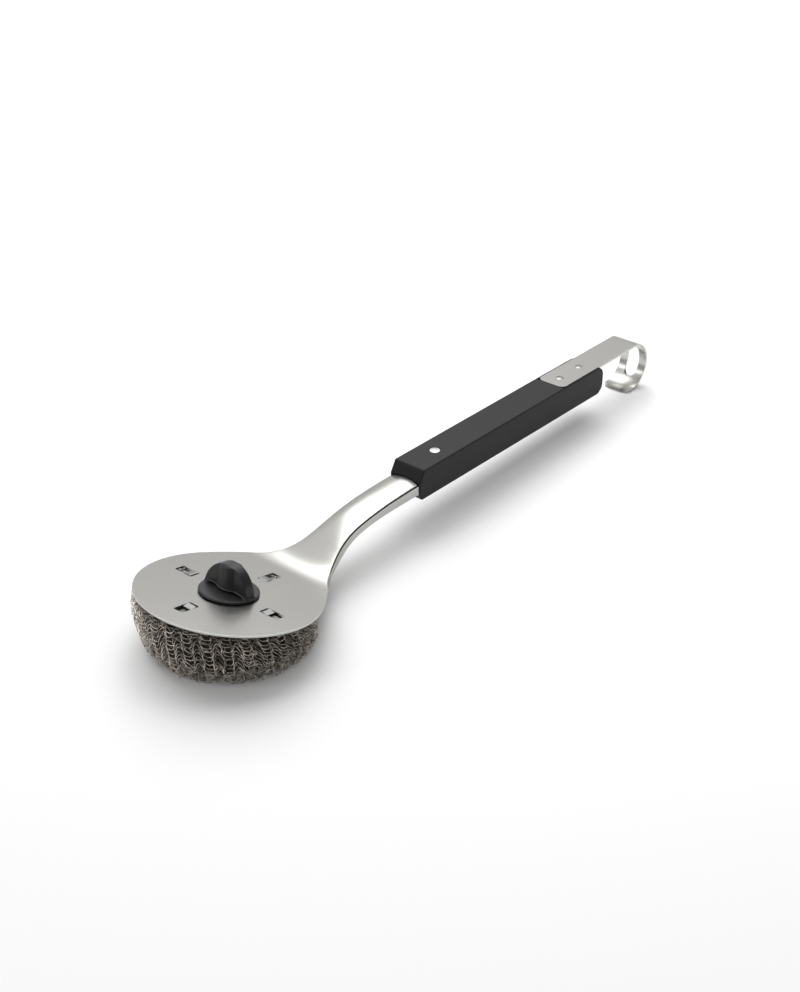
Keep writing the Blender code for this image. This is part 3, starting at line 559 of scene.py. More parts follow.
def solid(name, shape, place=None):
    """An object made from a bmesh and moved into place."""
    bmesh.ops.recalc_face_normals(shape, faces=shape.faces)
    mesh = bpy.data.meshes.new(name)
    shape.to_mesh(mesh)
    shape.free()
    if place is not None:
        mesh.transform(place)
    return new_object(name, mesh)


def prism(outline, direction, low, high):
    """Extrudes an outline of flat points from low to high along an axis."""
    place = {
        "X": lambda a, b, c: (c, a, b),
        "Y": lambda a, b, c: (a, c, b),
        "Z": lambda a, b, c: (a, b, c),
    }[direction]
    shape = bmesh.new()
    base = shape.faces.new([shape.verts.new(place(a, b, low)) for a, b in outline])
    grown = bmesh.ops.extrude_face_region(shape, geom=[base])
    moved = [item for item in grown["geom"] if isinstance(item, bmesh.types.BMVert)]
    bmesh.ops.translate(shape, verts=moved, vec=place(0.0, 0.0, high - low))
    return shape


def box(x_range, y_range, z_range):
    (left, right), (near, far) = x_range, y_range
    return prism([(left, near), (right, near), (right, far), (left, far)], "Z", *z_range)


def bar(name, radius, steps, low, high, place=None):
    """A round bar along Z, or one with a few flats."""
    return solid(name, prism(circle(radius, steps), "Z", low, high), place)


def bridge(shape, rows, closed=True, flipped=False):
    """Joins each row of points to the next with faces. A row may be a single point."""
    for row, after in zip(rows, rows[1:]):
        count = max(len(row), len(after))
        for step in range(count if closed else count - 1):
            corners = [row[step % len(row)], row[(step + 1) % len(row)]]
            corners += [after[(step + 1) % len(after)], after[step % len(after)]]
            corners = list(dict.fromkeys(corners))
            if flipped:
                corners.reverse()
            if len(corners) > 2:
                shape.faces.new(corners)


def loft(sections, endless=False):
    """Joins closed sections of points into one body, with flat ends or run into its own start."""
    shape = bmesh.new()
    rings = [[shape.verts.new(point) for point in section] for section in sections]
    if endless:
        bridge(shape, rings + rings[:1])
    else:
        bridge(shape, rings)
        shape.faces.new(rings[0])
        shape.faces.new(rings[-1])
    return shape


def turned(profile, steps):
    """Turns a closed profile of (radius, height) points about the Z axis."""
    shape = bmesh.new()
    rings = []
    for radius, height in profile:
        ring = circle(radius, steps) if radius else [(0.0, 0.0)]
        rings.append([shape.verts.new((x, y, height)) for x, y in ring])
    bridge(shape, rings + rings[:1])
    return shape


def strip(path, half_width, thickness):
    """A flat band bent along a path of (along, up) points, its width across X."""
    sections = []
    for index, (along, up) in enumerate(path):
        before = Vector(path[max(index - 1, 0)])
        after = Vector(path[min(index + 1, len(path) - 1)])
        run = (after - before).normalized()
        side = Vector((-run.y, run.x)) * thickness / 2.0
        wide = half_width(index)
        centre = Vector((along, up))
        corners = [(-wide, centre + side), (wide, centre + side)]
        corners += [(wide, centre - side), (-wide, centre - side)]
        sections.append([(x, point.x, point.y) for x, point in corners])
    return loft(sections)


def settle(piece):
    """Applies a piece's modifiers."""
    bpy.context.view_layer.update()
    graph = bpy.context.evaluated_depsgraph_get()
    mesh = bpy.data.meshes.new_from_object(piece.evaluated_get(graph))
    old = piece.data
    piece.modifiers.clear()
    piece.data = mesh
    bpy.data.meshes.remove(old)


def combine(piece, others, operation="DIFFERENCE"):
    """Cuts or joins other bodies with a piece, and uses them up."""
    for other in others:
        change = piece.modifiers.new(other.name, "BOOLEAN")
        change.operation = operation
        change.solver = "EXACT"
        change.object = other
    settle(piece)
    for other in others:
        bpy.data.meshes.remove(other.data)


def soften(piece, width, segments=2, angle=40.0):
    """Rounds a piece's edges over."""
    rounding = piece.modifiers.new("rounding", "BEVEL")
    rounding.width = width
    rounding.segments = segments
    rounding.limit_method = "ANGLE"
    rounding.angle_limit = math.radians(angle)
    rounding.harden_normals = False
    settle(piece)


def dress(piece, finish, body, node, sharp=50.0, level=False):
    """Gives a piece its finish and says what it rides on and stands for."""
    piece.data.materials.clear()
    piece.data.materials.append(FINISHES[finish])
    piece.data.shade_smooth()
    piece.data.set_sharp_from_angle(angle=math.radians(sharp))
    if level:
        # Flat faces keep flat shading beside their rounded edges
        even = piece.modifiers.new("even", "WEIGHTED_NORMAL")
        even.mode = "FACE_AREA"
        even.weight = 100
        even.keep_sharp = True
        settle(piece)
    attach(piece, body)
    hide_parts(node)


def head_place(turn=0.0):
    """The place of something built in the disc's own frame, turned about the knob's axis."""
    move = Matrix.Translation((0.0, 0.0, DISC_HEIGHT))
    return move @ Matrix.Rotation(-HEAD_TILT, 4, "X") @ Matrix.Rotation(turn, 4, "Z")


# ---------------------------------------------------------------- head plate

RAIL_STEP = NECK_RUN / 400.0
NECK_END = BEND_START + NECK_RUN


def slope(place):
    """The sheet's angle to the level at a distance along it from the disc's centre."""
    share = (place - BEND_START) / NECK_RUN
    if share <= 0.0:
        return -HEAD_TILT
    angles = (-HEAD_TILT,) + tuple(math.radians(angle) for angle in ARCH_ANGLES)
    for index in range(1, len(angles)):
        low = ARCH_RUN_SHARES[index - 1]
        high = ARCH_RUN_SHARES[index]
        if share <= high:
            return between(angles[index - 1], angles[index], (share - low) / (high - low))
    return angles[-1]


def follow_rail():
    """Points (y, z) one step apart along the sheet, starting at the disc's centre."""
    points = [(0.0, DISC_HEIGHT)]
    count = math.ceil((NECK_END + TANG_LENGTH) / RAIL_STEP) + 1
    for index in range(count):
        angle = slope((index + 0.5) * RAIL_STEP)
        y, z = points[-1]
        points.append((y + RAIL_STEP * math.cos(angle), z + RAIL_STEP * math.sin(angle)))
    return points


RAIL = follow_rail()


def on_sheet(x, place, lift=0.0):
    """The point above the sheet's plan position (x, place), lifted off its top face."""
    angle = slope(place)
    lift -= NECK_SINK * eased((place - BEND_START) / (NECK_RUN * ARCH_RUN_SHARES[3]))
    if place <= 0.0:
        y = place * math.cos(angle)
        z = DISC_HEIGHT + place * math.sin(angle)
    else:
        index = min(int(place / RAIL_STEP), len(RAIL) - 2)
        share = place / RAIL_STEP - index
        y = between(RAIL[index][0], RAIL[index + 1][0], share)
        z = between(RAIL[index][1], RAIL[index + 1][1], share)
    return Vector((x, y - lift * math.sin(angle), z + lift * math.cos(angle)))


def sheet_outline(disc_steps, flare_steps, neck_steps):
    """Right half of the developed outline, from the disc's toe to the handle."""
    points = []
    for step in range(disc_steps):
        angle = FLARE_ANGLE * step / disc_steps
        points.append(Vector((DISC_RADIUS * math.sin(angle), -DISC_RADIUS * math.cos(angle))))
    start = Vector((DISC_RADIUS * math.sin(FLARE_ANGLE), -DISC_RADIUS * math.cos(FLARE_ANGLE)))
    end = Vector((NECK_WIDTH / 2.0, BEND_START + NECK_RUN * FLARE_RUN_SHARE))
    leave = Vector((math.cos(FLARE_ANGLE), math.sin(FLARE_ANGLE)))
    pulls = [share * NECK_RUN for share in FLARE_PULL_SHARES]
    first = start + leave * pulls[0]
    second = end - Vector((0.0, 1.0)) * pulls[1]
    for step in range(flare_steps):
        t = step / flare_steps
        u = 1.0 - t
        points.append(start * u**3 + first * 3 * u * u * t + second * 3 * u * t * t + end * t**3)
    for step in range(neck_steps + 1):
        points.append(Vector((end.x, between(end.y, NECK_END, step / neck_steps))))
    return points


def crown(place):
    """How far the neck's middle stands above its folds."""
    rise = eased((place - BEND_START) / (NECK_RUN * ARCH_RUN_SHARES[4]))
    fade = 1.0 - eased((place - NECK_END) / CROWN_FADE)
    return CROWN * rise * fade


def flange(place):
    """How deep the edge is turned down: hardly at the disc's crisp rim, fully along the neck."""
    if place <= BEND_START:
        return RIM_DROP
    share = (place - BEND_START) / NECK_RUN
    neck = between(RIM_DROP, FLANGE_DEPTH, eased(share / ARCH_RUN_SHARES[3]))
    return between(neck, FLANGE_END_DEPTH, eased((share - ARCH_RUN_SHARES[5]) * 2.0))


def fold_points(outer, normal, place, steps):
    """Points from the top face round the fold to the flange's lower edge."""
    depth = flange(place)
    inner_half = max(outer.x - FOLD_RADIUS, FOLD_RADIUS)
    lead = math.atan(2.0 * crown(place) / inner_half)
    full = math.acos(max(math.cos(lead) - depth / FOLD_RADIUS, 0.0))
    bent = FOLD_RADIUS * (full - lead)
    straight = max(depth - FOLD_RADIUS * math.cos(lead), 0.0)
    points = []
    runs = [bent * step / steps for step in range(steps + 1)]
    runs += [bent + straight * step / 3.0 for step in range(1, 4)]
    for run in runs:
        angle = lead + min(run, bent) / FOLD_RADIUS
        inset = FOLD_RADIUS * (math.sin(full) - math.sin(angle))
        drop = FOLD_RADIUS * (math.cos(lead) - math.cos(angle)) + max(run - bent, 0.0)
        spot = outer - normal * inset
        points.append((spot.x, spot.y, -drop))
    return points


def pressed_sheet():
    """The head plate's skin: disc, bend and neck with their edges turned down, and the tang."""
    across, fold_steps, tang_steps = 28, 8, 14
    outline = sheet_outline(disc_steps=84, flare_steps=56, neck_steps=24)
    shape = bmesh.new()
    folds = []
    for index, spot in enumerate(outline):
        before = outline[index - 1] if index else Vector((-outline[1].x, outline[1].y))
        after = outline[min(index + 1, len(outline) - 1)]
        run = (after - before).normalized()
        folds.append(fold_points(spot, Vector((run.y, -run.x)), spot.y, fold_steps))

    def vertex(x, place, lift):
        return shape.verts.new(on_sheet(x, place, lift))

    shares = [2.0 * step / across - 1.0 for step in range(across + 1)]
    tip = [vertex(0.0, place, lift) for _, place, lift in folds[0]]
    rows, rights, lefts = [[tip[0]] * (across + 1)], [tip], [tip]
    for points in folds[1:]:
        half, place, _ = points[0]
        rows.append([vertex(half * s, place, crown(place) * (1.0 - s * s)) for s in shares])
        rights.append([rows[-1][-1]] + [vertex(*point) for point in points[1:]])
        lefts.append([rows[-1][0]] + [vertex(-x, y, z) for x, y, z in points[1:]])
    half, place, _ = folds[-1][0]
    for step in range(1, tang_steps + 1):
        reach = place + TANG_LENGTH * step / tang_steps
        rows.append([vertex(half * s, reach, crown(reach) * (1.0 - s * s)) for s in shares])
    bridge(shape, rows, closed=False)
    bridge(shape, rights, closed=False)
    bridge(shape, lefts, closed=False, flipped=True)
    mesh = bpy.data.meshes.new("head_sheet")
    shape.to_mesh(mesh)
    shape.free()
    plate = new_object("pressed_head_plate", mesh)
    thicken = plate.modifiers.new("sheet", "SOLIDIFY")
    thicken.thickness = SKIN
    thicken.offset = -1.0
    thicken.use_even_offset = True
    thicken.use_quality_normals = True
    settle(plate)
    return plate


def slot_outline():
    """A slot along +X with small rounded corners."""
    near = SLOT_CENTRE - SLOT_LENGTH / 2.0 + SLOT_CORNER
    far = SLOT_CENTRE + SLOT_LENGTH / 2.0 - SLOT_CORNER
    side = SLOT_WIDTH / 2.0 - SLOT_CORNER
    quarter = math.pi / 2.0
    outline = []
    for index, centre in enumerate([(far, side), (near, side), (near, -side), (far, -side)]):
        outline += arc(centre, SLOT_CORNER, quarter * index, quarter * (index + 1), 5)
    return outline


def make_head_plate():
    """The pressed sheet with its bore, its four slots and the hole for the front rivet."""
    plate = pressed_sheet()
    cutters = [bar("bore", BORE_RADIUS, 64, *DISC_CUT, head_place())]
    for name, degrees in SIDES.items():
        slot = prism(slot_outline(), "Z", *DISC_CUT)
        cutters.append(solid("slot_" + name, slot, head_place(math.radians(degrees))))
    place = handle_place() @ Matrix.Translation((0.0, RIVET_PLACE, 0.0))
    cutters.append(bar("tang_hole", RIVET_RADIUS + GAP, 32, -TANG_CUT, TANG_CUT, place))
    combine(plate, cutters)
    soften(plate, SHEARED_EDGE)
    dress(plate, "satin", "brush", "head_plate", level=True)


# ---------------------------------------------------------------- claws


def claw_strip(name, path, width):
    """A band of the claw's sheet, bent along a path and laid along +X."""
    band = strip([(-along, up) for along, up in path], lambda index: width / 2.0, CLAW_SHEET)
    for vertex in band.verts:
        x, y, z = vertex.co
        vertex.co = (-y, x, z)
    return solid(name, band)


def make_claw(name, degrees):
    """A sheet claw: arm, bent-over tongue in the slot, prong and inward foot."""
    middle = CLAW_SHEET / 2.0
    level = -SHEET - GAP - middle
    bottom = level - middle
    outer = CLAW_REACH - CLAW_BEND
    foot = level - CLAW_DEPTH
    quarter = math.pi / 2.0
    # Arm, prong and foot
    path = [(CLAW_START, level), ((CLAW_START + CLAW_REACH) / 2.0, level)]
    path += arc((outer, level - CLAW_BEND), CLAW_BEND, quarter, 0.0, 10)
    path += arc((outer, foot + CLAW_BEND), CLAW_BEND, 0.0, -quarter, 10)
    path.append((CLAW_REACH - CLAW_FOOT, foot))
    claw = claw_strip("claw_blade_" + name, path, CLAW_WIDTH)
    # The window that the tongue is raised from, and the pin's hole
    root = SLOT_CENTRE - SLOT_LENGTH / 2.0 + TONGUE_INSET + middle
    half = TONGUE_WIDTH / 2.0 + GAP
    window = box((root, root + WINDOW_LENGTH), (-half, half), (bottom - OVERRUN, 0.0))
    pin = Matrix.Translation((PIN_START, 0.0, 0.0))
    hole = bar("hole", PIN_RADIUS + GAP, 32, bottom - OVERRUN, 0.0, pin)
    combine(claw, [solid("window", window), hole])
    # The tongue: up through the slot, and over to lie along it
    rise, over = root + TONGUE_BEND, TONGUE_RISE - middle - TONGUE_BEND
    turned_over = quarter - math.radians(TONGUE_DROOPS[name])
    path = [(root + 2.0 * TONGUE_BEND, level)]
    path += arc((rise, level + TONGUE_BEND), TONGUE_BEND, -quarter, -2 * quarter, 8)
    path += arc((rise, over), TONGUE_BEND, 2 * quarter, turned_over, 9)
    along, up = path[-1]
    run = TONGUE_LENGTH - TONGUE_BEND
    path.append((along + run * math.sin(turned_over), up - run * math.cos(turned_over)))
    combine(claw, [claw_strip("tongue", path, TONGUE_WIDTH)], "UNION")
    claw.data.transform(head_place(math.radians(degrees)))
    soften(claw, SHEARED_EDGE)
    dress(claw, "strip", "claw_" + name, "claw_" + name, level=True)


# ---------------------------------------------------------------- knob


def grip_section(swell, width, depth, height, droop=0.0, steps=28):
    """A bar with an oval column in its middle, grown outward by swell, its ends drooping."""
    half = GRIP_LENGTH / 2.0 + swell
    thick = GRIP_THICKNESS / 2.0 + swell
    wide = width / 2.0 + swell
    deep = depth / 2.0 + swell
    bend = half * DROOP_PLACE_SHARE
    # Low down the column stands clear of the bar, further up the two run into each other
    blend = between(*COLUMN_BLENDS, eased(height / (KNOB_HEIGHT * 0.8)))
    front = []
    for step in range(steps + 1):
        turn = between(-math.pi, 0.0, step / steps)
        out = (thick**blend + (-deep * math.sin(turn) + 1e-9) ** blend) ** (1.0 / blend)
        front.append((wide * math.cos(turn), -out, height))
    ends = []
    for step in range(9):
        x = between(half, bend, step / 8.0)
        ends.append((x, height - droop * eased((x - bend) / (half - bend))))
    front = [(-x, -thick, z) for x, z in ends] + front
    front += [(x, -thick, z) for x, z in reversed(ends)]
    return front + [(-x, -y, z) for x, y, z in front]


def bead(path, radius, steps=8):
    """A round bead along a closed path."""
    sections = []
    count = len(path)
    for index in range(count):
        run = (Vector(path[(index + 1) % count]) - Vector(path[index - 1])).normalized()
        side = run.cross(Vector((0.0, 0.0, 1.0))).normalized()
        up = side.cross(run)
        spot = Vector(path[index])
        sections.append([spot + side * a + up * b for a, b in circle(radius, steps)])
    return loft(sections, endless=True)


def flowing(points, steps=5):
    """A smooth curve through given points, with a mirrored one beyond its last."""
    spots = [Vector(point) for point in points]
    spots = [2.0 * spots[0] - spots[1], *spots, Vector((-spots[-2].x, spots[-2].y))]
    curve = []
    for p0, p1, p2, p3 in zip(spots, spots[1:], spots[2:], spots[3:]):
        square = 2.0 * p0 - 5.0 * p1 + 4.0 * p2 - p3
        cube = 3.0 * p1 - p0 - 3.0 * p2 + p3
        for step in range(steps):
            t = step / steps
            curve.append(p1 + ((p2 - p0) * t + (square * t * t + cube * t**3)) / 2.0)
    return [tuple(spot) for spot in curve] + [tuple(spots[-2])]


def melt_edges(piece, grain, rounds):
    """Runs a piece's bodies together and rounds their edges, as a moulding's are."""
    melt = piece.modifiers.new("melt", "REMESH")
    melt.mode = "VOXEL"
    melt.voxel_size = grain
    relax = piece.modifiers.new("relax", "SMOOTH")
    relax.factor = 0.5
    relax.iterations = rounds
    settle(piece)


def make_knob():
    """Flange, grip bar with its column, and the lip round the grip's foot, moulded in one."""
    wall = LIP_LEVEL + LIP_SHEET
    levels = [(-LIP_UNDERCUT, *COLUMN_FOOT, KNOB_RIM - KNOB_EDGE)]
    levels.append((-LIP_UNDERCUT, *COLUMN_FOOT, LIP_LEVEL, LIP_DROOP))
    levels.append((0.0, *COLUMN_FOOT, LIP_LEVEL, LIP_DROOP))
    levels.append((0.0, *COLUMN_FOOT, wall, LIP_DROOP))
    for step in range(1, 13):
        share = step / 12.0
        width = between(COLUMN_FOOT[0], COLUMN_TOP[0], share)
        depth = between(COLUMN_FOOT[1], COLUMN_TOP[1], share)
        height = between(wall, KNOB_HEIGHT + OVERRUN, share)
        levels.append((0.0, width, depth, height, LIP_DROOP * (1.0 - share)))
    grip = solid("knob_grip", loft([grip_section(*level) for level in levels]))
    half = GRIP_LENGTH / 2.0
    outside = KNOB_RADIUS + OVERRUN
    right = [(half * along, between(wall, KNOB_HEIGHT, up)) for along, up in flowing(ARCH_SHARES)]
    left = [(-along, up) for along, up in right[-2::-1]]
    feet = [(-outside, wall), (-outside, -OVERRUN), (outside, -OVERRUN), (outside, wall)]
    arch = solid("knob_arch", prism(feet + right + left, "Y", -outside, outside))
    crest = CREST_WIDTH / 2.0
    low = KNOB_HEIGHT - (outside - crest) * math.tan(CREST_SLOPE)
    roof = [(-outside, -outside), (outside, -outside), (outside, low)]
    roof += [(crest, KNOB_HEIGHT), (-crest, KNOB_HEIGHT), (-outside, low)]
    roof = solid("knob_roof", prism(roof, "X", -outside, outside))
    combine(grip, [arch, roof], "INTERSECT")
    melt_edges(grip, grain=0.00025, rounds=7)

    side = KNOB_RADIUS - KNOB_EDGE
    corner = arc((side, KNOB_RIM - KNOB_EDGE), KNOB_EDGE, 0.0, math.pi / 2.0, 6)
    profile = [(0.0, GAP), (side, GAP), (KNOB_RADIUS, 2.0 * GAP), *corner]
    profile += [(HUB_RADIUS, KNOB_RIM + KNOB_RISE), (0.0, KNOB_RIM + KNOB_RISE)]
    flange_disc = solid("knob_flange", turned(profile, 128))
    lip_line = grip_section(0.0, *COLUMN_FOOT, LIP_LEVEL + LIP_SHEET / 2.0, LIP_DROOP)
    lip = solid("knob_lip", bead(lip_line, LIP_BEAD_RADIUS))
    shape = bmesh.new()
    for part in (grip, flange_disc, lip):
        shape.from_mesh(part.data)
        bpy.data.meshes.remove(part.data)
    knob = solid("moulded_knob", shape)
    melt_edges(knob, grain=0.0002, rounds=3)
    recess = GAP + WASHER_RECESS
    combine(knob, [bar("hub", HUB_RADIUS, 64, -SHEET, recess + GAP)], "UNION")
    room = [(HUB_RADIUS, recess), (HUB_RADIUS, -OVERRUN)]
    room += [(WASHER_ROOM, -OVERRUN), (WASHER_ROOM, recess)]
    hexagon = (HEX_FLATS + 2.0 * GAP) / math.sqrt(3.0)
    socket = bar("socket", hexagon, 6, -SHEET - OVERRUN, SPINDLE_DEPTH + GAP)
    combine(knob, [solid("room", turned(room, 64)), socket])
    knob.data.transform(head_place())
    dress(knob, "knob", "knob", "knob", sharp=60.0)


# ---------------------------------------------------------------- handle and hook


def handle_place():
    """The place of something built in the handle's own frame."""
    end = on_sheet(0.0, NECK_END)
    pitch = slope(NECK_END)
    face = Vector((0.0, math.cos(pitch), math.sin(pitch))) * GAP
    rise = Vector((0.0, -math.sin(pitch), math.cos(pitch))) * TANG_LEVEL
    return Matrix.Translation(end + face - rise) @ Matrix.Rotation(pitch, 4, "X")


def make_handle():
    """One moulded bar: its side outline across the width, with rounded edges."""
    top = HANDLE_HEIGHT / 2.0
    tail = HANDLE_LENGTH - HANDLE_TAIL[0]
    outline = [
        (HANDLE_BROW[0], top),
        (0.0, top - HANDLE_BROW[1]),
        (0.0, HANDLE_CHIN[1] - top),
        (HANDLE_CHIN[0], -top),
        (tail, -top),
        (HANDLE_LENGTH - TAIL_NOSE, HANDLE_TAIL[1] / 2.0 - top),
        (HANDLE_LENGTH, HANDLE_TAIL[1] - top),
        (HANDLE_LENGTH, top - HANDLE_TAIL[1]),
        (HANDLE_LENGTH - TAIL_NOSE, top - HANDLE_TAIL[1] / 2.0),
        (tail, top),
    ]
    half = HANDLE_WIDTH / 2.0
    grip = solid("moulded_handle", prism(outline, "X", -half, half))
    soften(grip, HANDLE_ROUNDING, segments=7, angle=20.0)
    edge = Vector((NECK_WIDTH / 2.0, NECK_END))
    half = fold_points(edge, Vector((1.0, 0.0)), NECK_END, 4)[0][0] + 2.0 * GAP
    low = TANG_LEVEL - SHEET - 2.0 * GAP
    room = [(-half, low), (half, low)]
    for step in range(17):
        share = 1.0 - step / 8.0
        room.append((half * share, TANG_LEVEL + CROWN * (1.0 - share * share) + GAP))
    tang = solid("tang_room", prism(room, "Y", -OVERRUN, TANG_LENGTH + 2.0 * GAP))
    half = STRAP_WIDTH / 2.0 + 1.5 * GAP
    span = (STRAP_START - GAP, HANDLE_LENGTH + OVERRUN)
    recess = solid("recess", box((-half, half), span, (top - STRAP_SHEET - GAP, top + OVERRUN)))
    room = RIVET_RADIUS + GAP
    head = RIVET_HEAD_RADIUS + GAP
    seat = top - RIVET_HEAD - GAP
    profile = [(0.0, top + OVERRUN), (head, top + OVERRUN), (head, seat), (room, seat)]
    profile += [(room, -seat), (head, -seat), (head, -top - OVERRUN), (0.0, -top - OVERRUN)]
    rivet = Matrix.Translation((0.0, RIVET_PLACE, 0.0))
    cutters = [tang, recess, solid("rivet_room", turned(profile, 48), rivet)]
    low = top - STRAP_SHEET - PEG_LENGTH - GAP
    for along in PEG_PLACES:
        place = Matrix.Translation((0.0, along, 0.0))
        cutters.append(bar("peg_room", PEG_RADIUS + GAP, 32, low, top + OVERRUN, place))
    combine(grip, cutters)
    grip.data.transform(handle_place())
    dress(grip, "handle", "brush", "handle_grip", level=True)


def make_rivets():
    """The front rivet with a low flat head, and the strap's flush rivets."""
    top = HANDLE_HEIGHT / 2.0
    base = top - RIVET_HEAD
    end = -base - RIVET_HEAD / 2.0
    side = RIVET_HEAD_RADIUS - RIVET_EDGE
    profile = [(0.0, end), (RIVET_RADIUS, end), (RIVET_RADIUS, base), (RIVET_HEAD_RADIUS, base)]
    profile += arc((side, top - RIVET_EDGE), RIVET_EDGE, 0.0, math.pi / 2.0, 5) + [(0.0, top)]
    place = handle_place()
    at_rivet = place @ Matrix.Translation((0.0, RIVET_PLACE, 0.0))
    rivet = solid("rivet_front", turned(profile, 64), at_rivet)
    dress(rivet, "bright", "brush", "front_rivet", sharp=32.0)
    low = top - STRAP_SHEET - PEG_LENGTH
    profile = [(0.0, low), (PEG_RADIUS, low)]
    profile += [(radius, top + rise) for radius, rise in PEG_CROWN]
    for name, along in zip(("front", "rear"), PEG_PLACES):
        peg_place = place @ Matrix.Translation((0.0, along, 0.0))
        peg = solid("strap_rivet_" + name, turned(profile, 48), peg_place)
        dress(peg, "satin", "brush", "hook_rivet_" + name, sharp=32.0)


def make_strap():
    """A flat band let into the handle, rolled at its end into a hook with an eye."""
    top = HANDLE_HEIGHT / 2.0
    level = top - STRAP_SHEET / 2.0
    middle = top - HOOK_RADIUS
    bend = HOOK_RADIUS - STRAP_SHEET / 2.0
    quarter = math.pi / 2.0
    corner_steps, curl_steps = 10, 72
    turns = [quarter * step / corner_steps for step in range(corner_steps + 1)]
    lengths = [STRAP_CORNER * (1.0 - math.cos(turn)) for turn in turns]
    last = HOOK_START - STRAP_START
    lengths += [between(STRAP_CORNER, last, step / 12.0) for step in range(1, 13)]
    path = [(STRAP_START + length, level) for length in lengths]
    curl = HOOK_TURN * bend
    even = curl - TIP_CORNER
    stops = [between(0.0, even, step / curl_steps) for step in range(1, curl_steps + 1)]
    stops += [curl - TIP_CORNER * (1.0 - math.sin(turn)) for turn in turns[1:]]
    for stop in stops:
        angle = quarter - stop / bend
        path.append((HOOK_START + bend * math.cos(angle), middle + bend * math.sin(angle)))
        lengths.append(last + stop)
    total = lengths[-1]

    def half_width(index):
        half = STRAP_WIDTH / 2.0
        for corner, along in ((STRAP_CORNER, lengths[index]), (TIP_CORNER, total - lengths[index])):
            if along < corner:
                half -= corner - math.sqrt(max(corner**2 - (corner - along) ** 2, 0.0))
        return half

    strap = solid("rolled_hook_strap", strip(path, half_width, STRAP_SHEET))
    cutters = []
    low = top - STRAP_SHEET - OVERRUN
    for along in PEG_PLACES:
        place = Matrix.Translation((0.0, along, 0.0))
        cutters.append(bar("strap_hole", PEG_RADIUS + GAP, 48, low, top + OVERRUN, place))
    rounding = EYE_WIDTH / 2.0
    upper = middle - EYE_DROP + EYE_HEIGHT / 2.0 - rounding
    lower = middle - EYE_DROP - EYE_HEIGHT / 2.0 + rounding
    eye = arc((0.0, upper), rounding, 0.0, math.pi, 24)
    eye += arc((0.0, lower), rounding, math.pi, math.tau, 24)
    reach = HOOK_START + HOOK_RADIUS + OVERRUN
    cutters.append(solid("hook_eye", prism(eye, "Y", HOOK_START + STRAP_SHEET, reach)))
    combine(strap, cutters)
    soften(strap, STRAP_EDGE)
    strap.data.transform(handle_place())
    dress(strap, "satin", "brush", "hook_strap", level=True)


# ---------------------------------------------------------------- scourer


def pad_profile():
    """The pad's half outline as shares: run, radius, level, from the base's middle to the top's."""
    points = [(PAD_INNER_RADII[0], 0.0)]
    for level, bulge in zip(PAD_LEVELS, PAD_BULGES):
        rounding = between(PAD_BASE_ROUNDING, PAD_TOP_ROUNDING, level)
        points.append((PAD_RADIUS - rounding * (1.0 - bulge), level))
    points.append((PAD_INNER_RADII[1], 1.0))
    runs = [0.0]
    for (r0, l0), (r1, l1) in zip(points, points[1:]):
        runs.append(runs[-1] + math.hypot(r1 - r0, (l1 - l0) * PAD_HEIGHT))
    return np.array(runs), np.array([p[0] for p in points]), np.array([p[1] for p in points])


PROFILE = pad_profile()


def on_pad(angle, run, sink):
    """Points on the pad's skin, sunk along its outward direction, for arrays of angle and run."""
    runs, radii, levels = PROFILE
    run = np.clip(run, 0.0, runs[-1])
    radius = np.interp(run, runs, radii)
    level = np.interp(run, runs, levels)
    step = 0.0015
    ahead, behind = np.clip(run + step, 0.0, runs[-1]), np.clip(run - step, 0.0, runs[-1])
    d_radius = np.interp(ahead, runs, radii) - np.interp(behind, runs, radii)
    d_level = (np.interp(ahead, runs, levels) - np.interp(behind, runs, levels)) * PAD_HEIGHT
    length = np.maximum(np.hypot(d_radius, d_level), 1e-9)
    out_r, out_z = d_level / length, -d_radius / length
    reach = radius - sink * out_r
    x = reach * np.cos(angle) + between(PAD_BASE_SHIFT[0], PAD_TOP_SHIFT[0], level)
    y = reach * np.sin(angle) + between(PAD_BASE_SHIFT[1], PAD_TOP_SHIFT[1], level)
    z = level * (CEILING - y * CEILING_FALL) - sink * out_z
    out = np.stack([out_r * np.cos(angle), out_r * np.sin(angle), out_z], axis=1)
    return np.stack([x, y, z], axis=1), out


def ripple(points, scale, seed):
    """A smooth push for each point, random from place to place but the same in every run."""
    # Each seed and each axis reads the noise at a place of its own
    offset = Vector((seed * 7.13, seed * 3.71, seed * 5.37))
    parts = [offset + Vector((17.3 * axis, 0.0, 0.0)) for axis in range(3)]
    return np.array([[noise.noise(Vector(p) / scale + part) for part in parts] for p in points])


def normalised(rows):
    return rows / np.maximum(np.linalg.norm(rows, axis=-1, keepdims=True), 1e-9)


def keep_in(spots, width):
    """Keeps wires above the floor and under the disc."""
    ceiling = CEILING - spots[..., 1] * CEILING_FALL - width * 0.6
    spots[..., 2] = np.minimum(np.maximum(spots[..., 2], width * 0.5), ceiling)
    return spots


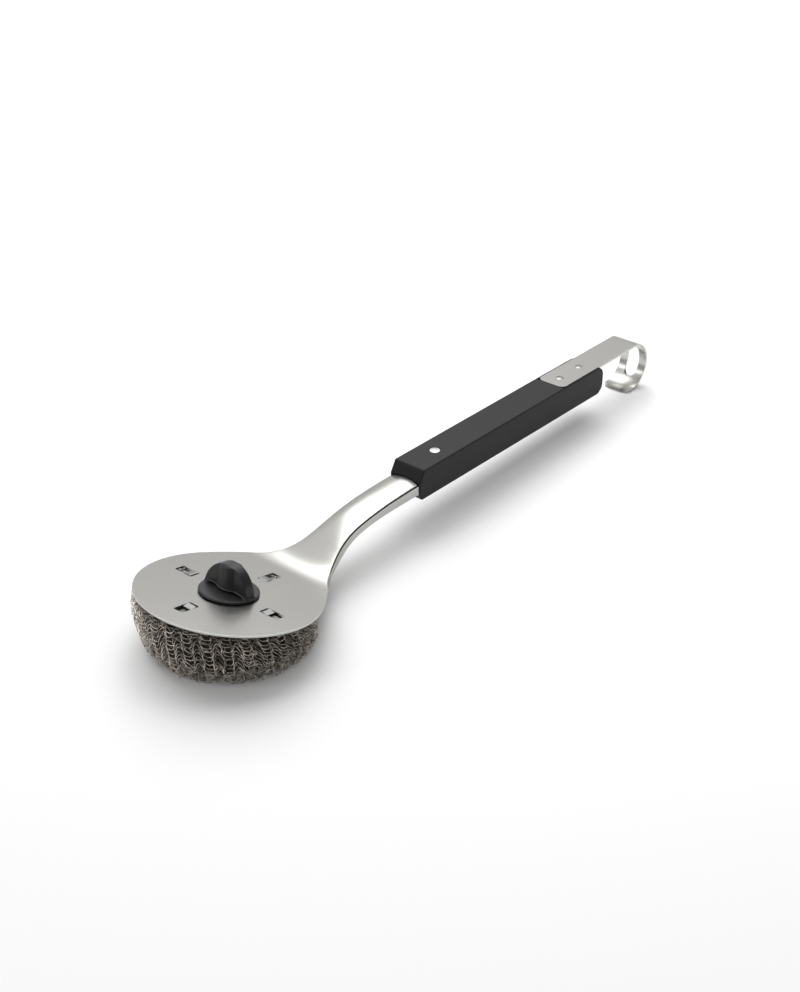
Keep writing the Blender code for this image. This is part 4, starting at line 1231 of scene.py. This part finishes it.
def loop_rows(runs, wales, tall, depth, sink, wander, seed, steps):
    """Middle lines of knitted rows: loops hung in one another like swags, their ends sunk."""
    rng = np.random.default_rng(seed)
    count = wales * steps
    t = np.arange(count) * math.tau / steps
    loop = np.arange(count) // steps
    hang = rng.normal(0.0, LOOP_HANG, wales)[loop]
    paths, outs, drift = [], [], 0.0
    for run in runs:
        drift += rng.normal(0.0, ROW_DRIFT)
        lift = 1.0 + rng.uniform(-0.15, 0.15, wales)[loop]
        # A loop's sides bulge, so that its neck is narrower than its swag
        angle = (t / math.tau + 0.08 * np.sin(2.0 * t) + drift) * math.tau / wales
        swag = 1.0 - np.abs(np.sin(t / 2.0)) ** 1.15
        along = run + hang + tall * (swag - 0.4) * lift
        spots, out = on_pad(angle, along, sink + depth * swag)
        # The wire is pulled about more and more towards the floor, where the pad is scuffed
        loose = wander * between(3.4, 0.5, eased(spots[:, 2:3] / WORN_HEIGHT))
        shove = ripple(spots, 0.006, seed) + ripple(spots, 0.002, seed + 3) * 0.5
        paths.append(spots + shove * loose)
        outs.append(out)
    return np.stack(paths), np.stack(outs)


def curls(count, low, high, sizes, sink, seed, steps=14):
    """Middle lines of small loose curls of wire, thrown over part of the pad's skin."""
    rng = np.random.default_rng(seed)
    angle = rng.uniform(0.0, math.tau, count)
    run = low + (high - low) * rng.beta(1.0, 3.6, count)
    middle, out = on_pad(angle, run, sink * rng.uniform(0.2, 1.4, count))
    first = normalised(np.cross(out, rng.standard_normal((count, 3))))
    second = normalised(np.cross(out, first) + out * rng.uniform(-1.1, 1.1, (count, 1)))
    t = np.arange(steps) * math.tau / steps
    wide = rng.uniform(*sizes, (count, 1))
    wide = wide * (1.0 + 0.25 * np.cos(2.0 * t + rng.uniform(0.0, 6.0, (count, 1))))
    narrow = wide * rng.uniform(0.45, 1.0, (count, 1))
    paths = middle[:, None, :] + (wide * np.cos(t))[..., None] * first[:, None, :]
    paths += (narrow * np.sin(t))[..., None] * second[:, None, :]
    return paths, np.repeat(out[:, None, :], steps, axis=1)


def flat_wire(name, paths, outs, width, sheet, seed):
    """A flat wire swept along closed middle lines, turning slowly about itself."""
    rng = np.random.default_rng(seed)
    paths = keep_in(paths, width)
    rows, count, _ = paths.shape
    ahead = normalised(np.roll(paths, -1, axis=1) - np.roll(paths, 1, axis=1))
    side = normalised(np.cross(ahead, outs))
    face = np.cross(side, ahead)
    step = np.arange(count)[None, :]
    turns = rng.integers(1, max(count // 26, 2), (rows, 1))
    twist = 0.9 * np.sin(step * math.tau * turns / count + rng.uniform(0.0, math.tau, (rows, 1)))
    twist += rng.uniform(-0.8, 0.8, (rows, 1))
    cos, sin = np.cos(twist)[..., None], np.sin(twist)[..., None]
    flat = (side * cos + face * sin) * width / 2.0
    thin = (face * cos - side * sin) * sheet / 2.0
    verts = [paths + flat + thin, paths + flat - thin, paths - flat - thin, paths - flat + thin]
    verts = np.stack(verts, axis=2)
    here = np.arange(count)[:, None] * 4
    there = np.roll(np.arange(count), -1)[:, None] * 4
    corner = np.arange(4)[None, :]
    other = (corner + 1) % 4
    ring = np.stack([here + corner, there + corner, there + other, here + other], axis=2)
    base = np.arange(rows)[:, None, None] * count * 4
    faces = (ring.reshape(1, -1, 4) + base).reshape(-1, 4)
    return mesh_from_arrays(name, verts.reshape(-1, 3), faces)


def mesh_from_arrays(name, verts, faces):
    mesh = bpy.data.meshes.new(name)
    mesh.vertices.add(len(verts))
    mesh.vertices.foreach_set("co", verts.astype(np.float32).ravel())
    mesh.loops.add(faces.size)
    mesh.loops.foreach_set("vertex_index", faces.astype(np.int32).ravel())
    mesh.polygons.add(len(faces))
    mesh.polygons.foreach_set("loop_start", np.arange(len(faces), dtype=np.int32) * 4)
    mesh.update(calc_edges=True)
    mesh.validate()
    return new_object(name, mesh)


def make_heart():
    """A lumpy body a few millimetres under the loops, dark as painted shade for the tangle inside
    the pad.
    """
    around, up = 160, 60
    verts = []
    angle = np.arange(around) * math.tau / around
    for stop in np.linspace(0.0, PROFILE[0][-1], up):
        spot, _ = on_pad(angle, np.full(around, stop), np.full(around, HEART_DEPTH))
        verts.append(spot + ripple(spot, 0.004, 41) * HEART_LUMPS)
    row = np.arange(up - 1)[:, None] * around
    step = np.arange(around)[None, :]
    other = (step + 1) % around
    corners = [row + step, row + other, row + around + other, row + around + step]
    faces = np.stack(corners, axis=2).reshape(-1, 4)
    heart = mesh_from_arrays("scourer_heart", np.concatenate(verts), faces)
    shape = bmesh.new()
    shape.from_mesh(heart.data)
    bmesh.ops.holes_fill(shape, edges=[edge for edge in shape.edges if edge.is_boundary], sides=0)
    bmesh.ops.recalc_face_normals(shape, faces=shape.faces)
    shape.to_mesh(heart.data)
    shape.free()
    dress(heart, "heart", "brush", "scourer", sharp=60.0)


def make_wool(sizes):
    """Layers of knitted loops round the dark heart (painted shade), with loose curls where the pad
    is scuffed and paler wire low down as painted glints.
    """
    make_heart()
    runs, wales = PROFILE[0], sizes.wales
    base_end, side_end = runs[1], runs[-2]
    side = np.arange(base_end + 0.001, side_end + 0.004, sizes.course)
    under = np.arange(0.003, base_end, FACE_COURSE)
    over = np.arange(side_end + 0.003, runs[-1] - 0.002, FACE_COURSE)
    faces = np.concatenate([under, over])
    # Every other row low on the side gets a second, paler wire: painted glints
    glinting = side[side < base_end + 0.011][1::2] + 0.0004
    low, high = base_end - 0.003, side_end - 0.003
    loose = curls(240, low, high, sizes=(0.0009, 0.0022), sink=0.0011, seed=31)
    # Rows, wales, loop height, swag depth, sink, wander, seed and points to a loop
    layers = {
        "side": ("wire", loop_rows(side, wales, 0.0058, 0.003, 0.0002, 0.0008, 11, 24)),
        "faces": ("wire", loop_rows(faces, wales, 0.006, 0.0012, 0.0006, 0.0009, 17, 14)),
        # The layer beneath uses the darker wire: painted shade
        "second": (
            "inner_wire",
            loop_rows(side[::2] + 0.001, wales - 3, 0.0056, 0.0016, 0.0036, 0.0012, 23, 20),
        ),
        "curls": ("wire", loose),
        # Paler wire low on the pad: painted glints
        "glinting": ("bright_wire", loop_rows(glinting, wales + 8, 0.0044, 0.0014, 0.0, 0.001, 47, 18)),
    }
    for seed, (name, (finish, (paths, outs))) in enumerate(layers.items()):
        name = "scourer_knit_" + name
        knit = flat_wire(name, paths, outs, sizes.wire_width, sizes.wire_sheet, seed)
        knit.data.materials.append(FINISHES[finish])
        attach(knit, "brush")
        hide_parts("scourer")


# ---------------------------------------------------------------- carried-over nodes

CARRIED = {
    "strip": ("wave_washer", "scroll_plate"),
    "bright": (
        "rivet_burr",
        "spindle",
        "screw_washer",
        "spindle_screw",
        *("follower_pin_" + side for side in SIDES),
    ),
    "nylon": ("knob_washer",),
}


def finish_carried_nodes():
    """Gives the frame's own small parts their finishes."""
    for finish, names in CARRIED.items():
        for name in names:
            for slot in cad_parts[name].material_slots:
                slot.material = FINISHES[finish]


# ---------------------------------------------------------------- stage


def floor_paper(colour):
    """Matt white background paper, a shade brighter to the camera, that keeps soft shadows."""
    finish, tree, sockets = new_finish("studio_paper", colour, 0.0, 0.9)
    sockets["Specular IOR Level"].default_value = 0.0
    spot = add_node(tree, "ShaderNodeTexCoord").outputs["Object"]
    # Paper fibres, 0.7 mm apart
    fibre = add_node(tree, "ShaderNodeTexNoise", {"Vector": spot}, Scale=1500.0)
    relief = {"Strength": 0.02, "Distance": 0.0001}
    add_node(tree, "ShaderNodeBump", {"Height": fibre}, sockets["Normal"], **relief)
    sockets["Emission Color"].default_value = (1.0, 1.0, 1.0, 1.0)
    seen = add_node(tree, "ShaderNodeLightPath").outputs["Is Camera Ray"]
    glow = add_node(
        tree, "ShaderNodeMath", {0: seen}, sockets["Emission Strength"], operation="MULTIPLY"
    )
    glow.inputs[1].default_value = CAMERA_GLOW
    return finish


def lamp(name, location, aim, size, power, spin=0.0, glossy=True):
    """A flat softbox that faces its aim, turned about that line by spin."""
    light = bpy.data.lights.new(name, "AREA")
    light.shape = "RECTANGLE"
    light.size, light.size_y = size
    light.energy = power
    made = new_object(name, light)
    made.location = location
    made.visible_glossy = glossy
    direction = Vector(aim) - Vector(location)
    turn = Quaternion((0.0, 0.0, 1.0), math.radians(spin))
    made.rotation_euler = (direction.to_track_quat("-Z", "Y") @ turn).to_euler()


def studio_world():
    """Even grey-white light, white paper all round, and its shade low down in what metal shows."""
    world = bpy.data.worlds.new("studio")
    bpy.context.scene.world = world
    world.use_nodes = True
    tree = world.node_tree
    tree.nodes.clear()
    path = add_node(tree, "ShaderNodeLightPath").outputs
    straight = {0: path["Is Camera Ray"], 1: path["Is Transmission Ray"]}
    seen = add_node(tree, "ShaderNodeMath", straight, operation="MAXIMUM")
    toward = add_node(tree, "ShaderNodeTexCoord").outputs["Generated"]
    height = add_node(tree, "ShaderNodeSeparateXYZ", {"Vector": toward}).outputs["Z"]
    # The paper is a shade darker near the floor, far behind the brush, than it is overhead
    levels = {"From_Min": 0.1, "From_Max": 0.7, "To_Min": 0.52}
    shade = add_node(tree, "ShaderNodeMapRange", {"Value": height}, **levels)
    # One side of the studio isn't lit, which keeps the near faces of knob and handle dark
    side = add_node(tree, "ShaderNodeVectorMath", {0: toward}, operation="DOT_PRODUCT")
    side.inputs[1].default_value = UNLIT_SIDE
    levels = {"From_Min": 0.0, "From_Max": 0.6, "To_Min": 1.0, "To_Max": 0.5}
    unlit = add_node(tree, "ShaderNodeMapRange", {"Value": side.outputs["Value"]}, **levels)
    shade = add_node(tree, "ShaderNodeMath", {0: shade, 1: unlit}, operation="MULTIPLY")
    ambient = add_node(tree, "ShaderNodeBackground", Strength=0.34)
    mirrored = add_node(tree, "ShaderNodeBackground", {"Strength": shade})
    white = add_node(tree, "ShaderNodeBackground", Strength=1.0)
    for back in (ambient, mirrored, white):
        back.inputs["Color"].default_value = (1.0, 1.0, 1.0, 1.0)
    lighting = {0: path["Is Glossy Ray"], 1: ambient, 2: mirrored}
    lighting = add_node(tree, "ShaderNodeMixShader", lighting)
    whole = add_node(tree, "ShaderNodeMixShader", {0: seen, 1: lighting, 2: white})
    add_node(tree, "ShaderNodeOutputWorld", {"Surface": whole})


def make_studio(settings):
    """Paper floor, lamps, a black card that the metal mirrors, and the camera."""
    scene = bpy.context.scene
    scene.view_settings.view_transform = "Standard"
    # The floor lies a hair under the origin's level, clear of the pad's base
    floor = solid("studio_floor", prism(circle(FLOOR_REACH, 96), "Z", -0.02, -0.00005))
    floor.data.materials.append(floor_paper(tuple(settings.floor)))
    studio_world()
    for name, values in LAMPS.items():
        lamp(name, **values)
    flag = solid("black_flag", box((-1.0, 1.0), (-0.6, 0.6), (0.0, 0.004)))
    tilt = FLAG_PLACE.to_track_quat("Z", "Y").to_matrix().to_4x4()
    flag.matrix_world = Matrix.Translation(FLAG_PLACE) @ tilt
    flag.data.materials.append(new_finish("black_card", linear("#101010"), 0.0, 0.9)[0])
    flag.visible_camera = flag.visible_diffuse = flag.visible_shadow = False
    camera = new_object("photo_camera", bpy.data.cameras.new("photo_camera"))
    camera.data.sensor_fit = "HORIZONTAL"
    camera.data.sensor_width = 36.0
    camera.data.lens = settings.focal_length
    camera.data.clip_start = 0.05
    camera.location = CAMERA_PLACE
    camera.rotation_euler = Euler([math.radians(angle) for angle in CAMERA_ANGLES])
    scene.camera = camera


# ---------------------------------------------------------------- operators


class GRILLBRUSH_OT_finishes(bpy.types.Operator):
    """Make the finishes of the brush"""

    bl_idname = "grillbrush.finishes"
    bl_label = "Finishes"

    def execute(self, context):
        make_finishes(context.scene.grillbrush_finishes)
        return {"FINISHED"}


class GRILLBRUSH_OT_head_plate(bpy.types.Operator):
    """Model the pressed disc and neck"""

    bl_idname = "grillbrush.head_plate"
    bl_label = "Head plate"

    def execute(self, context):
        make_head_plate()
        return {"FINISHED"}


class GRILLBRUSH_OT_claws(bpy.types.Operator):
    """Model the four claws"""

    bl_idname = "grillbrush.claws"
    bl_label = "Claws"

    def execute(self, context):
        for name, degrees in SIDES.items():
            make_claw(name, degrees)
        return {"FINISHED"}


class GRILLBRUSH_OT_knob(bpy.types.Operator):
    """Model the knob"""

    bl_idname = "grillbrush.knob"
    bl_label = "Knob"

    def execute(self, context):
        make_knob()
        return {"FINISHED"}


class GRILLBRUSH_OT_handle(bpy.types.Operator):
    """Model the handle and its rivets"""

    bl_idname = "grillbrush.handle"
    bl_label = "Handle and rivets"

    def execute(self, context):
        make_handle()
        make_rivets()
        return {"FINISHED"}


class GRILLBRUSH_OT_strap(bpy.types.Operator):
    """Model the hook strap"""

    bl_idname = "grillbrush.strap"
    bl_label = "Hook strap"

    def execute(self, context):
        make_strap()
        return {"FINISHED"}


class GRILLBRUSH_OT_scourer(bpy.types.Operator):
    """Knit the scourer"""

    bl_idname = "grillbrush.scourer"
    bl_label = "Scourer"

    def execute(self, context):
        make_wool(context.scene.grillbrush_scourer)
        return {"FINISHED"}


class GRILLBRUSH_OT_small_parts(bpy.types.Operator):
    """Finish the small parts that come with the frame"""

    bl_idname = "grillbrush.small_parts"
    bl_label = "Small parts"

    def execute(self, context):
        finish_carried_nodes()
        return {"FINISHED"}


class GRILLBRUSH_OT_studio(bpy.types.Operator):
    """Set up the floor, the lamps and the camera"""

    bl_idname = "grillbrush.studio"
    bl_label = "Studio"

    def execute(self, context):
        make_studio(context.scene.grillbrush_studio)
        return {"FINISHED"}


OPERATORS = (
    GRILLBRUSH_OT_studio,
    GRILLBRUSH_OT_finishes,
    GRILLBRUSH_OT_head_plate,
    GRILLBRUSH_OT_claws,
    GRILLBRUSH_OT_knob,
    GRILLBRUSH_OT_handle,
    GRILLBRUSH_OT_strap,
    GRILLBRUSH_OT_scourer,
    GRILLBRUSH_OT_small_parts,
)
GROUPS = {
    "grillbrush_finishes": BrushFinishes,
    "grillbrush_scourer": ScourerSizes,
    "grillbrush_studio": StudioSettings,
}


class GRILLBRUSH_PT_panel(bpy.types.Panel):
    """Lists the brush's pieces and settings"""

    bl_idname = "GRILLBRUSH_PT_panel"
    bl_label = "Round grill brush"
    bl_space_type = "VIEW_3D"
    bl_region_type = "UI"
    bl_category = "Grill Brush"

    def draw(self, context):
        for operator in OPERATORS:
            self.layout.operator(operator.bl_idname)
        for name, group in GROUPS.items():
            column = self.layout.column()
            for setting in group.__annotations__:
                column.prop(getattr(context.scene, name), setting)


def register():
    for group in (*GROUPS.values(), *OPERATORS, GRILLBRUSH_PT_panel):
        bpy.utils.register_class(group)
    for name, group in GROUPS.items():
        setattr(bpy.types.Scene, name, bpy.props.PointerProperty(type=group))


def unregister():
    for name in GROUPS:
        delattr(bpy.types.Scene, name)
    for group in reversed((*GROUPS.values(), *OPERATORS, GRILLBRUSH_PT_panel)):
        bpy.utils.unregister_class(group)


def main():
    register()
    for operator in OPERATORS:
        getattr(bpy.ops.grillbrush, operator.bl_idname.split(".")[1])()
    bpy.context.view_layer.update()


if __name__ == "__main__":
    main()
